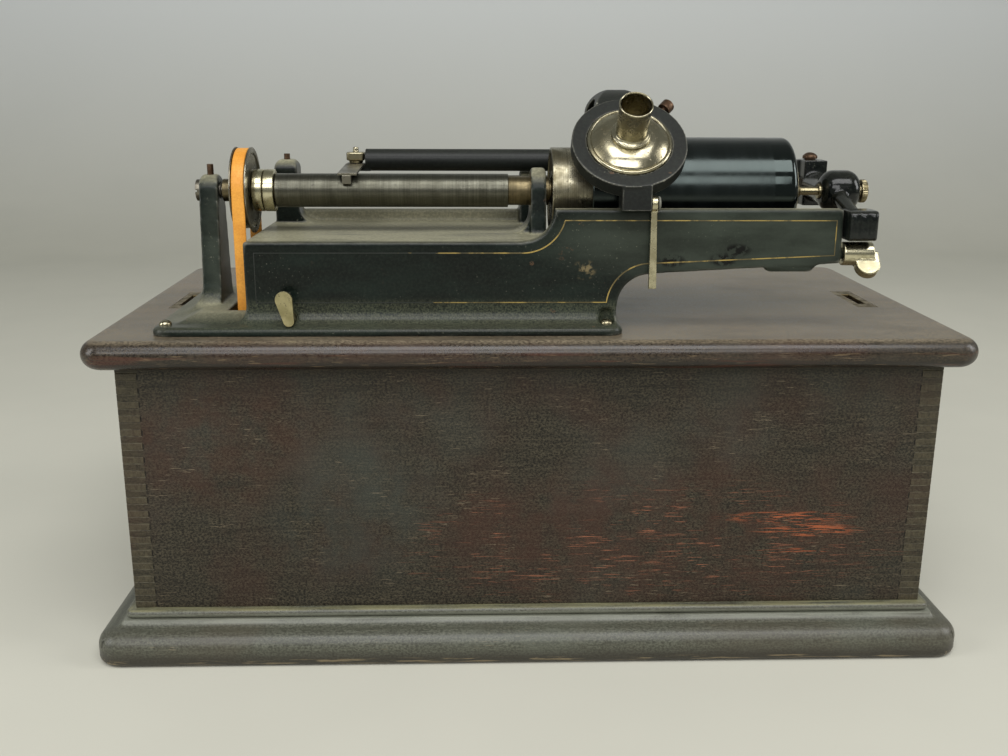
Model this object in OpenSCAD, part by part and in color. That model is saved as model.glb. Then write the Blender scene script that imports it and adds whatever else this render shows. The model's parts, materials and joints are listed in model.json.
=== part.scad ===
// Cylinder phonograph with a hinged motor board, spring motor, belt-driven shaft,
// feed screw, sliding and lifting carriage, end gate and wooden cabinet.
// Millimetres. +X to the gate end, +Y to the back, +Z up, origin under the centre.

/* [Cabinet] */
// Outside width of the box
box_w = 427; // [400:1:470]
// Outside depth of the box
box_d = 213; // [206:1:240]
// Height of the walls
wall_h = 134.5; // [125:0.5:160]
// Thickness of the walls
wall_t = 11; // [9:0.5:13]
// Pairs of fingers in each corner joint
finger_n = 18; // [8:1:22]
// Thickness of the floor panel
floor_t = 6; // [4:0.5:10]
// Bore of the crank bush
crank_bore = 16; // [12:0.5:20]

/* [Base moulding] */
// Height of the moulding
base_h = 26; // [25:0.5:34]
// How far the moulding stands out from the walls
base_out = 19; // [18.5:0.5:26]
// Ledge inside the walls that carries the floor panel
base_ledge = 6; // [3:0.5:12]
// Radius of the round plan corners
base_corner = 14; // [12:0.5:14.5]
// Radius of the big round near the floor
torus_r = 8.5; // [7:0.25:9]
// Radius of the worn bottom edge
toe_r = 4; // [2:0.25:5]
// Radius of the bead under the walls
bead_r = 2.2; // [1:0.1:2.4]

/* [Motor board] */
// Overhang of the board past the walls
board_over = 14.5; // [12:0.5:18]
// Thickness of the board
board_t = 15; // [12:0.5:18]
// Radius of the round plan corners
board_corner = 12; // [10:0.5:18]
// Distance of each clip slot from the middle
clip_x = 199; // [197.5:0.5:203]
// Place of the clip slots from front to back
clip_y = -7; // [-20:1:10]
// Width and length of a slot plate
clip_plate = [12, 50]; // [8:1:60]
// Thickness of a slot plate
clip_t = 1.5; // [1:0.1:3]
// Width and length of a clip slot
clip_slot = [4.6, 30]; // [4:0.1:40]
// Diameter of a hinge knuckle
knuckle_d = 6.6; // [5.6:0.1:7]
// Diameter of a hinge pin
hinge_pin_d = 3; // [2.5:0.1:4]
// Length of a hinge
hinge_l = 54; // [40:1:70]
// Distance of each hinge from the middle
hinge_x = 140; // [110:1:150]

/* [Bed casting] */
// Place of the shaft from front to back
shaft_y = -51; // [-53:0.5:-49]
// Height of the shaft above the board
shaft_h = 68.5; // [66:0.5:72]
// Distance from the shaft to the front of the bed
bed_front = 45; // [42.5:0.5:47]
// Distance from the shaft to the back of the bed
bed_rear = 57; // [55:0.5:62]
// Left end of the bed's box
bed_left = -147.4; // [-148:0.1:-146]
// Right foot of the bed
bed_right = 43; // [40:0.5:50]
// Right end of the cantilevered arm
arm_right = 158; // [157:0.25:158.25]
// Height of the deck above the board
deck_h = 46.5; // [44:0.5:48]
// Height of the straight edge above the board
edge_h = 63; // [62:0.5:64]
// Thickness of the front plate
plate_t = 8; // [6:0.5:9]
// Thickness of the other walls of the casting
bed_wall = 5; // [4:0.5:7]
// Thickness of the flange
flange_t = 4.5; // [4:0.25:6]
// How far the flange stands out at the front and back
flange_w = 10.5; // [9.5:0.25:13]
// Left end of the flange
flange_left = -194.5; // [-196:0.5:-192]
// Height of the plinth under the left post
plinth_h = 8.8; // [8:0.1:10]
// Radius of the hollow between wall and flange
cove_r = 7.4; // [5:0.1:7.5]
// Height of the arm's lower edge at its free end
arm_low = 35.5; // [33:0.5:40]
// Drop of the lower edge from the free end to the arch
arm_taper = 5.3; // [2:0.1:7]
// Radius of the arch under the arm
arch_r = 17; // [12:0.5:19]
// Diameter of a flange screw head
bed_screw_d = 6.4; // [5:0.1:7]

/* [Shaft line] */
// Diameter of the main shaft
shaft_d = 12; // [10:0.25:13]
// Diameter of the shaft's thin right end
stub_d = 6.5; // [5:0.25:7.5]
// Diameter of the bronze journal
journal_d = 15.6; // [14.5:0.1:17]
// Diameter of the feed screw
screw_d = 18; // [16:0.25:19]
// Length of the feed screw
screw_l = 124.5; // [110:0.5:140]
// Outside diameter of the belt pulley
pulley_d = 45.5; // [42:0.5:47]
// Depth of the pulley's groove
groove_depth = 2.4; // [2:0.1:4]
// Diameter of the brass collars
collar_d = 22.5; // [20:0.5:24]
// Diameter of the mandrel's thick end
mandrel_d = 46.2; // [45:0.1:47]
// Diameter of the mandrel's thin end
mandrel_tip_d = 41.5; // [40:0.1:43]
// Wall of the mandrel
mandrel_wall = 2.5; // [2:0.1:4]
// Outside diameter of the record
record_d = 57; // [55:0.1:58]
// Length of the record
record_l = 108; // [100:0.5:110]
// Thickness of the belt
belt_t = 1.6; // [1.2:0.1:2]
// Width of the belt
belt_w = 6.5; // [5.5:0.25:6.75]

/* [Carriage] */
// Distance of the back rod behind the shaft
rod_back = 43; // [42:0.25:44]
// Diameter of the back rod
rod_d = 10; // [8:0.25:10.5]
// Wall of the sleeve bush
bush_wall = 1.5; // [1:0.1:1.8]
// Outside diameter of the carriage sleeve
sleeve_d = 17; // [16:0.25:17.5]
// Place of the reproducer along the shaft
repro_x = 48.5; // [47:0.25:50]
// Tilt of the reproducer from upright
repro_tilt = 45; // [42:0.5:47]
// Outside diameter of the reproducer ring
ring_d = 59; // [57:0.5:60]
// Thickness of the reproducer ring
ring_t = 8; // [6:0.5:9]
// Diameter of the reproducer in its ring
repro_d = 43.4; // [40:0.2:45]
// Outside diameter of the reproducer's neck
neck_d = 16.9; // [15:0.1:18]
// Wall of the neck
neck_wall = 0.9; // [0.6:0.1:1.5]
// Length of the neck above the ring
neck_l = 26.5; // [22:0.5:30]
// Diameter of the feed-nut tube
tube_d = 12.3; // [11:0.1:12.6]
// Length of the lift lever below its pivot
lever_l = 45; // [35:0.5:48]

/* [End gate] */
// Place of the gate's pivot along the shaft
gate_x = 165.5; // [165:0.25:167]
// Diameter of the gate's pivot screw
pivot_d = 6; // [5:0.1:7]
// Diameter of the gate's hub
hub_d = 22.5; // [20:0.5:23.5]
// Diameter of the centre in the hub
centre_d = 8; // [7:0.1:9]
// Diameter of the latch barrel
latch_d = 12.2; // [10:0.2:13]

/* [Motor] */
// Module of the going train's gears
train_m = 1.5; // [1.4:0.05:1.55]
// Module of the governor's gears
gov_m = 1; // [0.9:0.05:1.05]
// Height of the pulley arbor below the board
pulley_drop = 57.5; // [55:0.5:60]
// Diameter of the spring barrel
barrel_d = 72; // [66:0.5:74]
// Thickness of the motor plates
plate_w = 5; // [4:0.25:6]
// Diameter of the train's arbors
arbor_d = 8; // [6:0.25:9]
// Diameter of the governor's weights
weight_d = 11; // [8:0.5:12]

/* [Clearances] */
// Radial clearance of running shafts
run_gap = 0.05; // [0.02:0.01:0.09]
// Gap between faces that pass each other
face_gap = 0.4; // [0.3:0.05:0.6]

/* [Hidden] */
$fn = 48;
eps = 0.01;
toe_step = 0.25;

// Levels and outlines of the cabinet
wall_top = base_h + wall_h;
board_top = wall_top + board_t;
board_w = box_w + 2 * board_over;
board_d = box_d + 2 * board_over;
base_w = box_w + 2 * base_out;
base_d = box_d + 2 * base_out;
base_strip = base_out + wall_t + base_ledge;
bead_out = base_out - base_corner;
finger_h = wall_h / (2 * finger_n);
nose_r = board_t / 2;
hinge_gap = 0.2;
hinge_y = box_d / 2 + knuckle_d / 2 + hinge_gap;
hinge_z = wall_top - knuckle_d / 2 - hinge_gap;
leaf_t = 1.5;
leaf_h = 26;
leaf_y = [box_d / 2 - wall_t + 2, hinge_y + knuckle_d / 2];

// The feed screw starts beside the collars; all that lies right of it hangs on mid_x
screw_left = -136.5;
mid_x = screw_left + screw_l + 12;
foot_right = mid_x + bed_right;
arm_end = mid_x + arm_right;
repro_at = mid_x + repro_x;
gate_at = mid_x + gate_x;

// Levels and faces of the bed casting
shaft_z = board_top + shaft_h;
front_y = shaft_y - bed_front;
rear_y = shaft_y + bed_rear;
deck_z = board_top + deck_h;
edge_z = board_top + edge_h;
plinth_z = board_top + plinth_h;
rise_r = edge_h - deck_h;
rise_x = mid_x + 10.8;
arch_top = board_top + arm_low - arm_taper;
low_deck_z = arch_top + 1.3;
plinth_left = flange_left + 14.5;
flange_right = foot_right + 3;
lip_r = 3;
post_r = 8.8;
post_foot = 13.5;
flare_r = 14;
left_post = [-176.4, -166.5];
mid_post = [mid_x, mid_x + 8.2];
mid_post_r = 12.3;
back_post = [-144, -131];
back_post_top = shaft_z + 14;
centre_post = [mid_x - 4, mid_x + 8];
centre_post_r = 8;
rail_h = 6.5;
rail_t = 8;
lug_x = [mid_x + 121, mid_x + 143];
lug_drop = 3;
bed_screw_y = [front_y - 1.6, rear_y + 1.6];
bed_screw_x = [flange_left + 6.2, foot_right - 5.3];
bed_screw_shank = 4;
bed_screw_l = 14;
bush_d = journal_d + 4.4;

// Shaft line, from left to right
shaft_left = -164.8;
stub_x = mid_x + 141;
shaft_right = mid_x + 147.4;
cone_l = 3;
cone_d = 4.4;
cone_gap = 0.12;
pulley_x = [-157.6, -148.8];
rim_t = (pulley_x[1] - pulley_x[0] - belt_w - 0.6) / 2;
collar_x = [pulley_x[1] + 0.6, -142.7, screw_left - 0.2];
journal_x = [mid_x - 12, mid_x + 10];
screw_x = journal_x[0] - screw_l;
mandrel_x = [mid_x + 10.8, mid_x + 141];
record_x = mandrel_x[0] + 20.4;
groove_d = pulley_d - 2 * groove_depth;
belt_x = (pulley_x[0] + pulley_x[1]) / 2;
belt_r = groove_d / 2 + 0.3;
left_bore = 8;

// Back rod and carriage
rod_y = shaft_y + rod_back;
rod_z = shaft_z;
rod_left = -146;
tongue_x = mid_x + 155.2;
tongue_t = 7.6;
tongue_r = 7.4;
sleeve_x = [mid_x + 24, mid_x + 68];
bush_d_out = rod_d + 2 * run_gap + 2 * bush_wall;
tube_y = rod_y - 7;
tube_z = shaft_z + 14;
tube_x = [mid_x - 91.7, sleeve_x[0] + 12];
tab_x = [mid_x - 102.5, tube_x[0] + 3];
tab_z = tube_z - 3;
tab_t = 3;
spring_t = 1.2;
nut_x = [mid_x - 100.2, mid_x - 95.4];
stud_x = mid_x - 97.3;
bend_y = tube_y - 7;
plate_drop = 2.2;
plate_y = shaft_y - screw_d / 2 - 2.4;
arch_y = rod_y - 36;
arch_z = shaft_z + 18;
arch_out = 35;
arch_band = 5;
arch_x = [mid_x + 32, mid_x + 60];
arch_round = 13;
clamp_turn = 51;
arch_end = 127;
face_y = shaft_y - 34;
face_z = shaft_z + 27.5;
block_x = [mid_x + 43, mid_x + 58];
block_y = [front_y - 9, front_y + 5];
block_top = edge_z + 13;
pivot_y = front_y - 4;
lever_x = [mid_x + 58.3, mid_x + 62.3];
lever_eye_d = 8;
// The lever's eye stays clear of the ring's lower back edge
ring_reach = sqrt(pow(ring_d / 2, 2) - pow(lever_x[0] - repro_at, 2));
ring_low_y = face_y - ring_reach * cos(repro_tilt) + ring_t * sin(repro_tilt);
ring_low_z = face_z - ring_reach * sin(repro_tilt) - ring_t * cos(repro_tilt);
eye_clear = lever_eye_d / 2 + 0.4;
lever_z = min(edge_z + 4.6, ring_low_z - sqrt(max(0, pow(eye_clear, 2) - pow(ring_low_y - pivot_y, 2))));
lever_t = 2.6;
lever_pin_d = 4;

// End gate and latch
ear_r = 8;
ear_top = rod_z + 14.5;
ear_low = rod_z - 11;
hub_x = [mid_x + 158.4, mid_x + 179.5];
hub_round = 7;
knob_x = [mid_x + 158.7, mid_x + 173.6];
knob_z = [board_top + 47.6, board_top + 63];
knob_y = [front_y - 8, front_y + 11];
latch_y = front_y + plate_t / 2;
latch_z = board_top + 40.2;
latch_x = [mid_x + 159.2, mid_x + 174.8];
latch_pin_d = 5;

// Motor: arbors lie along X between two plates
plate_left = -146;
plate_right = -36;
pulley_pos = [shaft_y, board_top - pulley_drop];
inter_dir = -28;
barrel_dir = 14;
gov_dir = -88;
pinion_n = 16;
wheel_n = 48;
barrel_n = 54;
inter_pos = pulley_pos + train_m * (wheel_n + pinion_n) / 2 * [cos(inter_dir), sin(inter_dir)];
barrel_pos = inter_pos + train_m * (barrel_n + pinion_n) / 2 * [cos(barrel_dir), sin(barrel_dir)];
gov_pos = pulley_pos + gov_m * (wheel_n + pinion_n) / 2 * [cos(gov_dir), sin(gov_dir)];
wheel_x = [-137, -132];
pinion_a_x = [-138, -131];
great_x = [-60, -52];
pinion_b_x = [-61, -51];
gov_wheel_x = [-45, -41];
gov_pinion_x = [-46, -40];
drum_x = [-126, great_x[0]];
drum_wall = 2.5;
cap_t = 2.5;
wind_d = 10;
wind_out = 130;
gov_d = 5;
disc_x = [-92, -89.5];
disc_r = 16;
weight_x = -72;
weight_r = 17.5;
hub_right_x = [-57, -51];
ratchet_x = [plate_right + plate_w + 1, plate_right + plate_w + 5];
ratchet_n = 24;
ratchet_r = 18;
click_pos = barrel_pos + [-20, 21];
click_stud_d = 5;
belt_slot = [[pulley_x[0] - 2.4, bed_left], [shaft_y - pulley_d / 2 - 6, shaft_y + pulley_d / 2 + 6]];
// Inner arm of the start lever, behind the bed's wall and clear of the cabinet's front wall
start_in_y = max(front_y + plate_t + face_gap, -box_d / 2 + wall_t + 1.2);
start_slot = [[-138, -119], [start_in_y - face_gap - 1, start_in_y - face_gap + 8]];
plate_front = shaft_y - 19;
plate_rear = barrel_pos[0] + 41.5;
pillar_pos = [[plate_front + 40, wall_top - 12.5], [inter_pos[0], wall_top - 108.5],
    [plate_rear - 8, wall_top - 11.5], [plate_rear - 10, wall_top - 98.5]];
pillar_d = 9;
foot_y = [[plate_front, plate_front + 30], [plate_rear - 50, plate_rear - 4]];
foot_w = 16;
foot_t = 6;

// Start lever
lever_axis = [-124.3, board_top + 7.7];
start_pin_d = 5;
start_lean = 10.5;
tab_l = 11.2;
tab_r = 4.4;
arm_x = -96.5;
arm_back = -60;

// Teeth as plain trapezoids with a little backlash
function gear_points(n, m) = [
    for (i = [0 : n - 1])
    for (k = [0 : 3])
    let (r = n * m / 2 + (k == 1 || k == 2 ? 0.95 * m : -1.2 * m))
    let (half = (k == 1 || k == 2 ? 0.34 : 0.92) * m / r * 180 / PI)
    let (a = 360 / n * i + (k < 2 ? -half : half))
    r * [cos(a), sin(a)]];

// A saw-toothed wheel outline
function ratchet_points(n, r, depth) = [
    for (i = [0 : n - 1])
    for (k = [0, 1])
    let (a = 360 / n * (i + 0.12 * k))
    (k == 0 ? r : r - depth) * [cos(a), sin(a)]];

// A spiral strip between two radii, as one closed outline
function spiral_points(r0, r1, turns, t, steps) = concat(
    [for (i = [0 : steps]) (r0 + (r1 - r0) * i / steps) * [cos(360 * turns * i / steps),
        sin(360 * turns * i / steps)]],
    [for (i = [steps : -1 : 0]) (r0 + t + (r1 - r0) * i / steps) * [cos(360 * turns * i / steps),
        sin(360 * turns * i / steps)]]);

// Outlines in Y and Z, drawn out along X
module along_x(span) {
    translate([span[0], 0, 0])
        rotate([90, 0, 90])
            linear_extrude(span[1] - span[0]) children();
}

// Outlines in X and Z, drawn out along Y
module along_y(span) {
    translate([0, span[1], 0])
        rotate([90, 0, 0])
            linear_extrude(span[1] - span[0]) children();
}

// A round bar along X at a place in Y and Z
module bar_x(pos, d, span) {
    translate([span[0], pos[0], pos[1]])
        rotate([0, 90, 0])
            cylinder(d = d, h = span[1] - span[0]);
}

// A round tube along X
module tube_along_x(pos, d, bore, span) {
    difference() {
        bar_x(pos, d, span);
        bar_x(pos, bore, [span[0] - 1, span[1] + 1]);
    }
}

// A block between two corners
module block(x, y, z) {
    translate([x[0], y[0], z[0]]) cube([x[1] - x[0], y[1] - y[0], z[1] - z[0]]);
}

// A rectangle with round corners about the origin
module round_rect(w, d, r) {
    square([w - 2 * r, d], center = true);
    square([w, d - 2 * r], center = true);
    for (sx = [-1, 1], sy = [-1, 1])
        translate([sx * (w / 2 - r), sy * (d / 2 - r)]) circle(r);
}

// A profile drawn round a rectangle with round corners
module edge_sweep(w, d, r) {
    for (s = [0, 180]) {
        rotate([0, 0, s]) translate([w / 2, 0, 0])
            rotate([90, 0, 0]) linear_extrude(d - 2 * r, center = true) children();
        rotate([0, 0, s + 90]) translate([d / 2, 0, 0])
            rotate([90, 0, 0]) linear_extrude(w - 2 * r, center = true) children();
        rotate([0, 0, s]) translate([w / 2 - r, d / 2 - r, 0])
            rotate_extrude(angle = 90) translate([r, 0]) children();
        rotate([0, 0, s]) translate([r - w / 2, d / 2 - r, 0])
            rotate([0, 0, 90]) rotate_extrude(angle = 90) translate([r, 0]) children();
    }
}

// Concave fillet in the corner of +X and +Y, with a small step at both ends
module cove(r) {
    difference() {
        square(r);
        translate([r, r]) circle(r - toe_step);
    }
}

// Slots for the fingers of the joining wall, at one end of a wall along X
module finger_cuts(x, phase) {
    for (i = [0 : finger_n - 1])
        translate([x, 0, base_h + finger_h * (2 * i + phase)])
            cube([wall_t, wall_t, finger_h]);
}

module long_wall() {
    difference() {
        translate([-box_w / 2, 0, base_h]) cube([box_w, wall_t, wall_h]);
        finger_cuts(-box_w / 2, 0);
        finger_cuts(box_w / 2 - wall_t, 0);
    }
}

module wall_front() {
    color("#3a2a24") translate([0, -box_d / 2, 0]) long_wall();
}

module wall_back() {
    color("#3a2a24") translate([0, box_d / 2 - wall_t, 0]) long_wall();
}

module short_wall() {
    difference() {
        translate([0, -box_d / 2, base_h]) cube([wall_t, box_d, wall_h]);
        translate([0, -box_d / 2, 0]) finger_cuts(0, 1);
        translate([0, box_d / 2 - wall_t, 0]) finger_cuts(0, 1);
    }
}

module wall_left() {
    color("#3a2a24") translate([-box_w / 2, 0, 0]) short_wall();
}

crank_lip = 3;
crank_outer = crank_bore + 6;
module wall_right() {
    color("#3a2a24") difference() {
        translate([box_w / 2 - wall_t, 0, 0]) short_wall();
        bar_x(barrel_pos, crank_outer, [box_w / 2 - wall_t - 1, box_w / 2 + 1]);
    }
}

// Metal bush that lines the crank hole
module crank_bush() {
    color("#8d8468") {
        difference() {
            union() {
                bar_x(barrel_pos, crank_outer, [box_w / 2 - wall_t, box_w / 2 + eps]);
                bar_x(barrel_pos, crank_outer + 8, [box_w / 2, box_w / 2 + crank_lip]);
            }
            bar_x(barrel_pos, crank_bore, [box_w / 2 - wall_t - 1, box_w / 2 + crank_lip + 1]);
        }
    }
}

module floor_panel() {
    w = box_w - 2 * wall_t;
    d = box_d - 2 * wall_t;
    color("#6a5138") translate([-w / 2, -d / 2, base_h]) cube([w, d, floor_t]);
}

// Moulding outside the bead, x measured from the wall's face
module moulding_profile() {
    round_x = base_out - torus_r;
    round_z = toe_r + 5.5;
    step_z = base_h - 2 * bead_r;
    hollow_r = round_x - bead_out;
    square([base_out - toe_r, toe_r + eps]);
    translate([base_out - toe_r, toe_r]) circle(toe_r);
    translate([0, toe_r]) square([base_out, round_z - toe_r]);
    translate([round_x, round_z]) circle(torus_r);
    difference() {
        square([round_x, step_z]);
        translate([round_x, round_z + torus_r + hollow_r]) circle(hollow_r);
    }
}

// Outer round and hollow, plain core, and the bead that frames the walls
module moulding_ring() {
    inner_w = base_w - 2 * base_strip;
    inner_d = base_d - 2 * base_strip;
    core_w = base_w - 2 * base_corner;
    core_d = base_d - 2 * base_corner;
    step_z = base_h - 2 * bead_r;
    difference() {
        union() {
            edge_sweep(base_w, base_d, base_corner)
                intersection() {
                    translate([-base_out, 0]) moulding_profile();
                    translate([-base_corner, -1]) square([base_corner, base_h + 2]);
                }
            translate([-core_w / 2, -core_d / 2, 0]) cube([core_w, core_d, step_z]);
            edge_sweep(core_w, core_d, bead_out) {
                translate([-bead_out, step_z - eps]) square([bead_out - bead_r, 2 * bead_r + eps]);
                translate([-bead_r, base_h - bead_r]) circle(bead_r);
            }
            translate([-box_w / 2, -box_d / 2, step_z - eps]) cube([box_w, box_d, 2 * bead_r + eps]);
        }
        translate([-inner_w / 2, -inner_d / 2, -1]) cube([inner_w, inner_d, base_h + 2]);
    }
}

// Wedge that mitres one side of the ring
module mitre(w, d) {
    linear_extrude(2 * base_h, center = true)
        polygon([[-w / 2, -d / 2], [w / 2, -d / 2],
            [w / 2 - base_strip - 1, base_strip + 1 - d / 2],
            [base_strip + 1 - w / 2, base_strip + 1 - d / 2]]);
}

module moulding_long() {
    color("#4a453c") for (s = [0, 180])
        intersection() {
            moulding_ring();
            rotate([0, 0, s]) mitre(base_w, base_d);
        }
}

module moulding_short() {
    color("#4a453c") for (s = [90, 270])
        intersection() {
            moulding_ring();
            rotate([0, 0, s]) mitre(base_d, base_w);
        }
}

// Hinge leaf with knuckles over part of its length
module knuckle(x) {
    tube_along_x([hinge_y, hinge_z], knuckle_d, hinge_pin_d + 2 * run_gap, x);
}

module hinge_lower_leaves() {
    end_l = hinge_l / 3 - face_gap / 2;
    color("#77705c") for (s = [-1, 1])
        translate([s * hinge_x, 0, 0]) difference() {
            union() {
                block([-hinge_l / 2, hinge_l / 2], [box_d / 2, box_d / 2 + leaf_t],
                    [hinge_z - leaf_h, hinge_z - knuckle_d / 2 - face_gap]);
                for (x = [-hinge_l / 2, hinge_l / 2 - end_l]) {
                    bar_x([hinge_y, hinge_z], knuckle_d, [x, x + end_l]);
                    block([x, x + end_l], [box_d / 2, box_d / 2 + leaf_t],
                        [hinge_z - leaf_h, hinge_z]);
                }
            }
            bar_x([hinge_y, hinge_z], hinge_pin_d, [-hinge_l, hinge_l]);
        }
}

module hinge_upper_leaves() {
    mid_l = hinge_l / 3 - face_gap / 2;
    color("#77705c") for (s = [-1, 1])
        translate([s * hinge_x, 0, 0]) difference() {
            union() {
                block([-hinge_l / 2, hinge_l / 2], leaf_y, [wall_top, wall_top + leaf_t]);
                block([-mid_l / 2, mid_l / 2], [hinge_y - 1.5, leaf_y[1]],
                    [hinge_z, wall_top + leaf_t]);
                bar_x([hinge_y, hinge_z], knuckle_d, [-mid_l / 2, mid_l / 2]);
            }
            bar_x([hinge_y, hinge_z], hinge_pin_d + 2 * run_gap, [-hinge_l, hinge_l]);
        }
}

module hinge_pins() {
    color("#6c675a") for (s = [-1, 1])
        translate([s * hinge_x, 0, 0])
            bar_x([hinge_y, hinge_z], hinge_pin_d, [-hinge_l / 2, hinge_l / 2]);
}

// Board with a bullnose edge; it carries the bed, the motor and the slot plates
module top_board() {
    color("#42302a") difference() {
        union() {
            translate([0, 0, wall_top]) linear_extrude(board_t)
                round_rect(board_w - 2 * nose_r, board_d - 2 * nose_r, board_corner - nose_r);
            translate([0, 0, wall_top + nose_r])
                edge_sweep(board_w - 2 * nose_r, board_d - 2 * nose_r, board_corner - nose_r)
                    intersection() {
                        circle(nose_r);
                        translate([0, -nose_r]) square([nose_r, 2 * nose_r]);
                    }
        }
        block(belt_slot[0], belt_slot[1], [wall_top - 1, board_top + 1]);
        block(start_slot[0], start_slot[1], [wall_top - 1, board_top + 1]);
        for (s = [-1, 1])
            block([s * hinge_x - hinge_l / 2, s * hinge_x + hinge_l / 2], leaf_y,
                [wall_top - 1, wall_top + leaf_t]);
        for (s = [-1, 1])
            translate([s * clip_x, clip_y, 0]) {
                translate([0, 0, board_top - clip_t]) linear_extrude(clip_t + 1)
                    square(clip_plate, center = true);
                linear_extrude(board_top + 1) square(clip_slot, center = true);
            }
        for (x = bed_screw_x, y = bed_screw_y)
            translate([x, y, board_top - bed_screw_l])
                cylinder(d = bed_screw_shank, h = bed_screw_l + 1);
        for (x = motor_screw_x, y = motor_screw_y)
            translate([x, y, wall_top - 1]) cylinder(d = motor_screw_d, h = motor_screw_l + 1);
    }
}

module clip_slot_plates() {
    color("#85796a") for (s = [-1, 1])
        translate([s * clip_x, clip_y, board_top - clip_t]) linear_extrude(clip_t)
            difference() {
                square(clip_plate, center = true);
                square(clip_slot, center = true);
            }
}

// Front view of the bed: foot, deck, rise, straight edge, arm and arch
module bed_outline() {
    arch_c = foot_right + arch_r;
    difference() {
        union() {
            translate([bed_left, board_top]) square([rise_x - bed_left, deck_h]);
            translate([rise_x, board_top]) square([foot_right - rise_x, edge_h]);
            translate([rise_x - rise_r, deck_z - eps]) square([rise_r + eps, rise_r + eps]);
            polygon([[foot_right - eps, edge_z], [arm_end, edge_z],
                [arm_end, board_top + arm_low], [arch_c, arch_top], [foot_right - eps, arch_top]]);
            translate([foot_right - eps, arch_top - arch_r]) square([arch_r + eps, arch_r + eps]);
        }
        translate([rise_x - rise_r, deck_z + rise_r]) circle(rise_r - toe_step);
        translate([arch_c, arch_top - arch_r]) circle(arch_r - toe_step);
    }
}

// A bearing post: round head on a web with a straight foot and a tapered neck, top corners rounded
module post(pos, r, foot_z, foot_half, foot_h, span, corner) {
    intersection() {
        along_x(span) {
            translate(pos) circle(r);
            polygon([[pos[0] - foot_half, foot_z], [pos[0] + foot_half, foot_z],
                [pos[0] + foot_half, foot_z + foot_h], [pos[0] + r, pos[1]],
                [pos[0] - r, pos[1]], [pos[0] - foot_half, foot_z + foot_h]]);
        }
        along_y([pos[0] - 2 * foot_half, pos[0] + 2 * foot_half])
            rounded_top(span, board_top, pos[1] + r + 0.6, corner);
    }
}

// An upright outline with round top corners
module rounded_top(span, low, top, r) {
    translate([span[0], low]) square([span[1] - span[0], top - r - low]);
    translate([span[0] + r, low]) square([span[1] - span[0] - 2 * r, top - low]);
    for (x = [span[0] + r, span[1] - r]) translate([x, top - r]) circle(r);
}

// Flange with a rounded lip
module bed_flange() {
    w = flange_right - flange_left;
    d = rear_y - front_y + 2 * flange_w;
    corner = 8;
    translate([(flange_right + flange_left) / 2, (rear_y + front_y) / 2, board_top]) {
        linear_extrude(flange_t) round_rect(w - 2 * lip_r, d - 2 * lip_r, corner - lip_r);
        edge_sweep(w - 2 * lip_r, d - 2 * lip_r, corner - lip_r) {
            square([lip_r, flange_t - lip_r]);
            translate([0, flange_t - lip_r]) intersection() {
                circle(lip_r);
                square(lip_r);
            }
        }
    }
}

// Hollows between the walls and the flange
module bed_coves() {
    z = board_top + flange_t;
    along_x([bed_left, foot_right]) {
        translate([front_y, z]) mirror([1, 0]) cove(cove_r);
        translate([rear_y, z]) cove(cove_r);
    }
    for (c = [[front_y, 180, [front_y, belt_slot[1][0]]], [rear_y, 90, [belt_slot[1][1], rear_y]]]) {
        translate([bed_left, c[0], z]) rotate([0, 0, c[1]])
            rotate_extrude(angle = 90) cove(cove_r);
        along_y(c[2]) translate([bed_left, z]) mirror([1, 0]) cove(cove_r);
    }
}

// Low hipped foot under the left post
module plinth() {
    z = board_top + flange_t - 1;
    right = bed_left + bed_wall;
    intersection() {
        along_x([plinth_left - 8, right])
            polygon([[front_y - 4, z], [front_y + 12, plinth_z], [rear_y - 12, plinth_z], [rear_y + 4, z]]);
        along_y([front_y - 6, rear_y + 6])
            polygon([[plinth_left - 6, z], [plinth_left + 6, plinth_z], [right, plinth_z], [right, z]]);
    }
}

// Wide flare of the left post into the flange
module post_flare() {
    z = board_top + flange_t;
    side_y = [shaft_y - post_foot, shaft_y + post_foot];
    along_y(side_y) translate([left_post[0], z]) mirror([1, 0]) cove(flare_r);
    along_x(left_post) {
        translate([side_y[0], z]) mirror([1, 0]) cove(flare_r);
        translate([side_y[1], z]) cove(flare_r);
    }
    for (c = [[side_y[0], 180], [side_y[1], 90]])
        translate([left_post[0], c[0], z]) rotate([0, 0, c[1]])
            rotate_extrude(angle = 90) cove(flare_r);
}

module bed_cavity() {
    x = [bed_left + bed_wall, foot_right - bed_wall];
    y = [front_y + plate_t, rear_y - bed_wall];
    block([plinth_left + bed_wall, x[1]], y, [board_top - 1, plinth_z - bed_wall]);
    block([x[0], x[1]], y, [board_top - 1, low_deck_z - bed_wall]);
    block([x[0], rise_x - bed_wall - 2.3], y, [board_top - 1, deck_z - bed_wall]);
}

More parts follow.
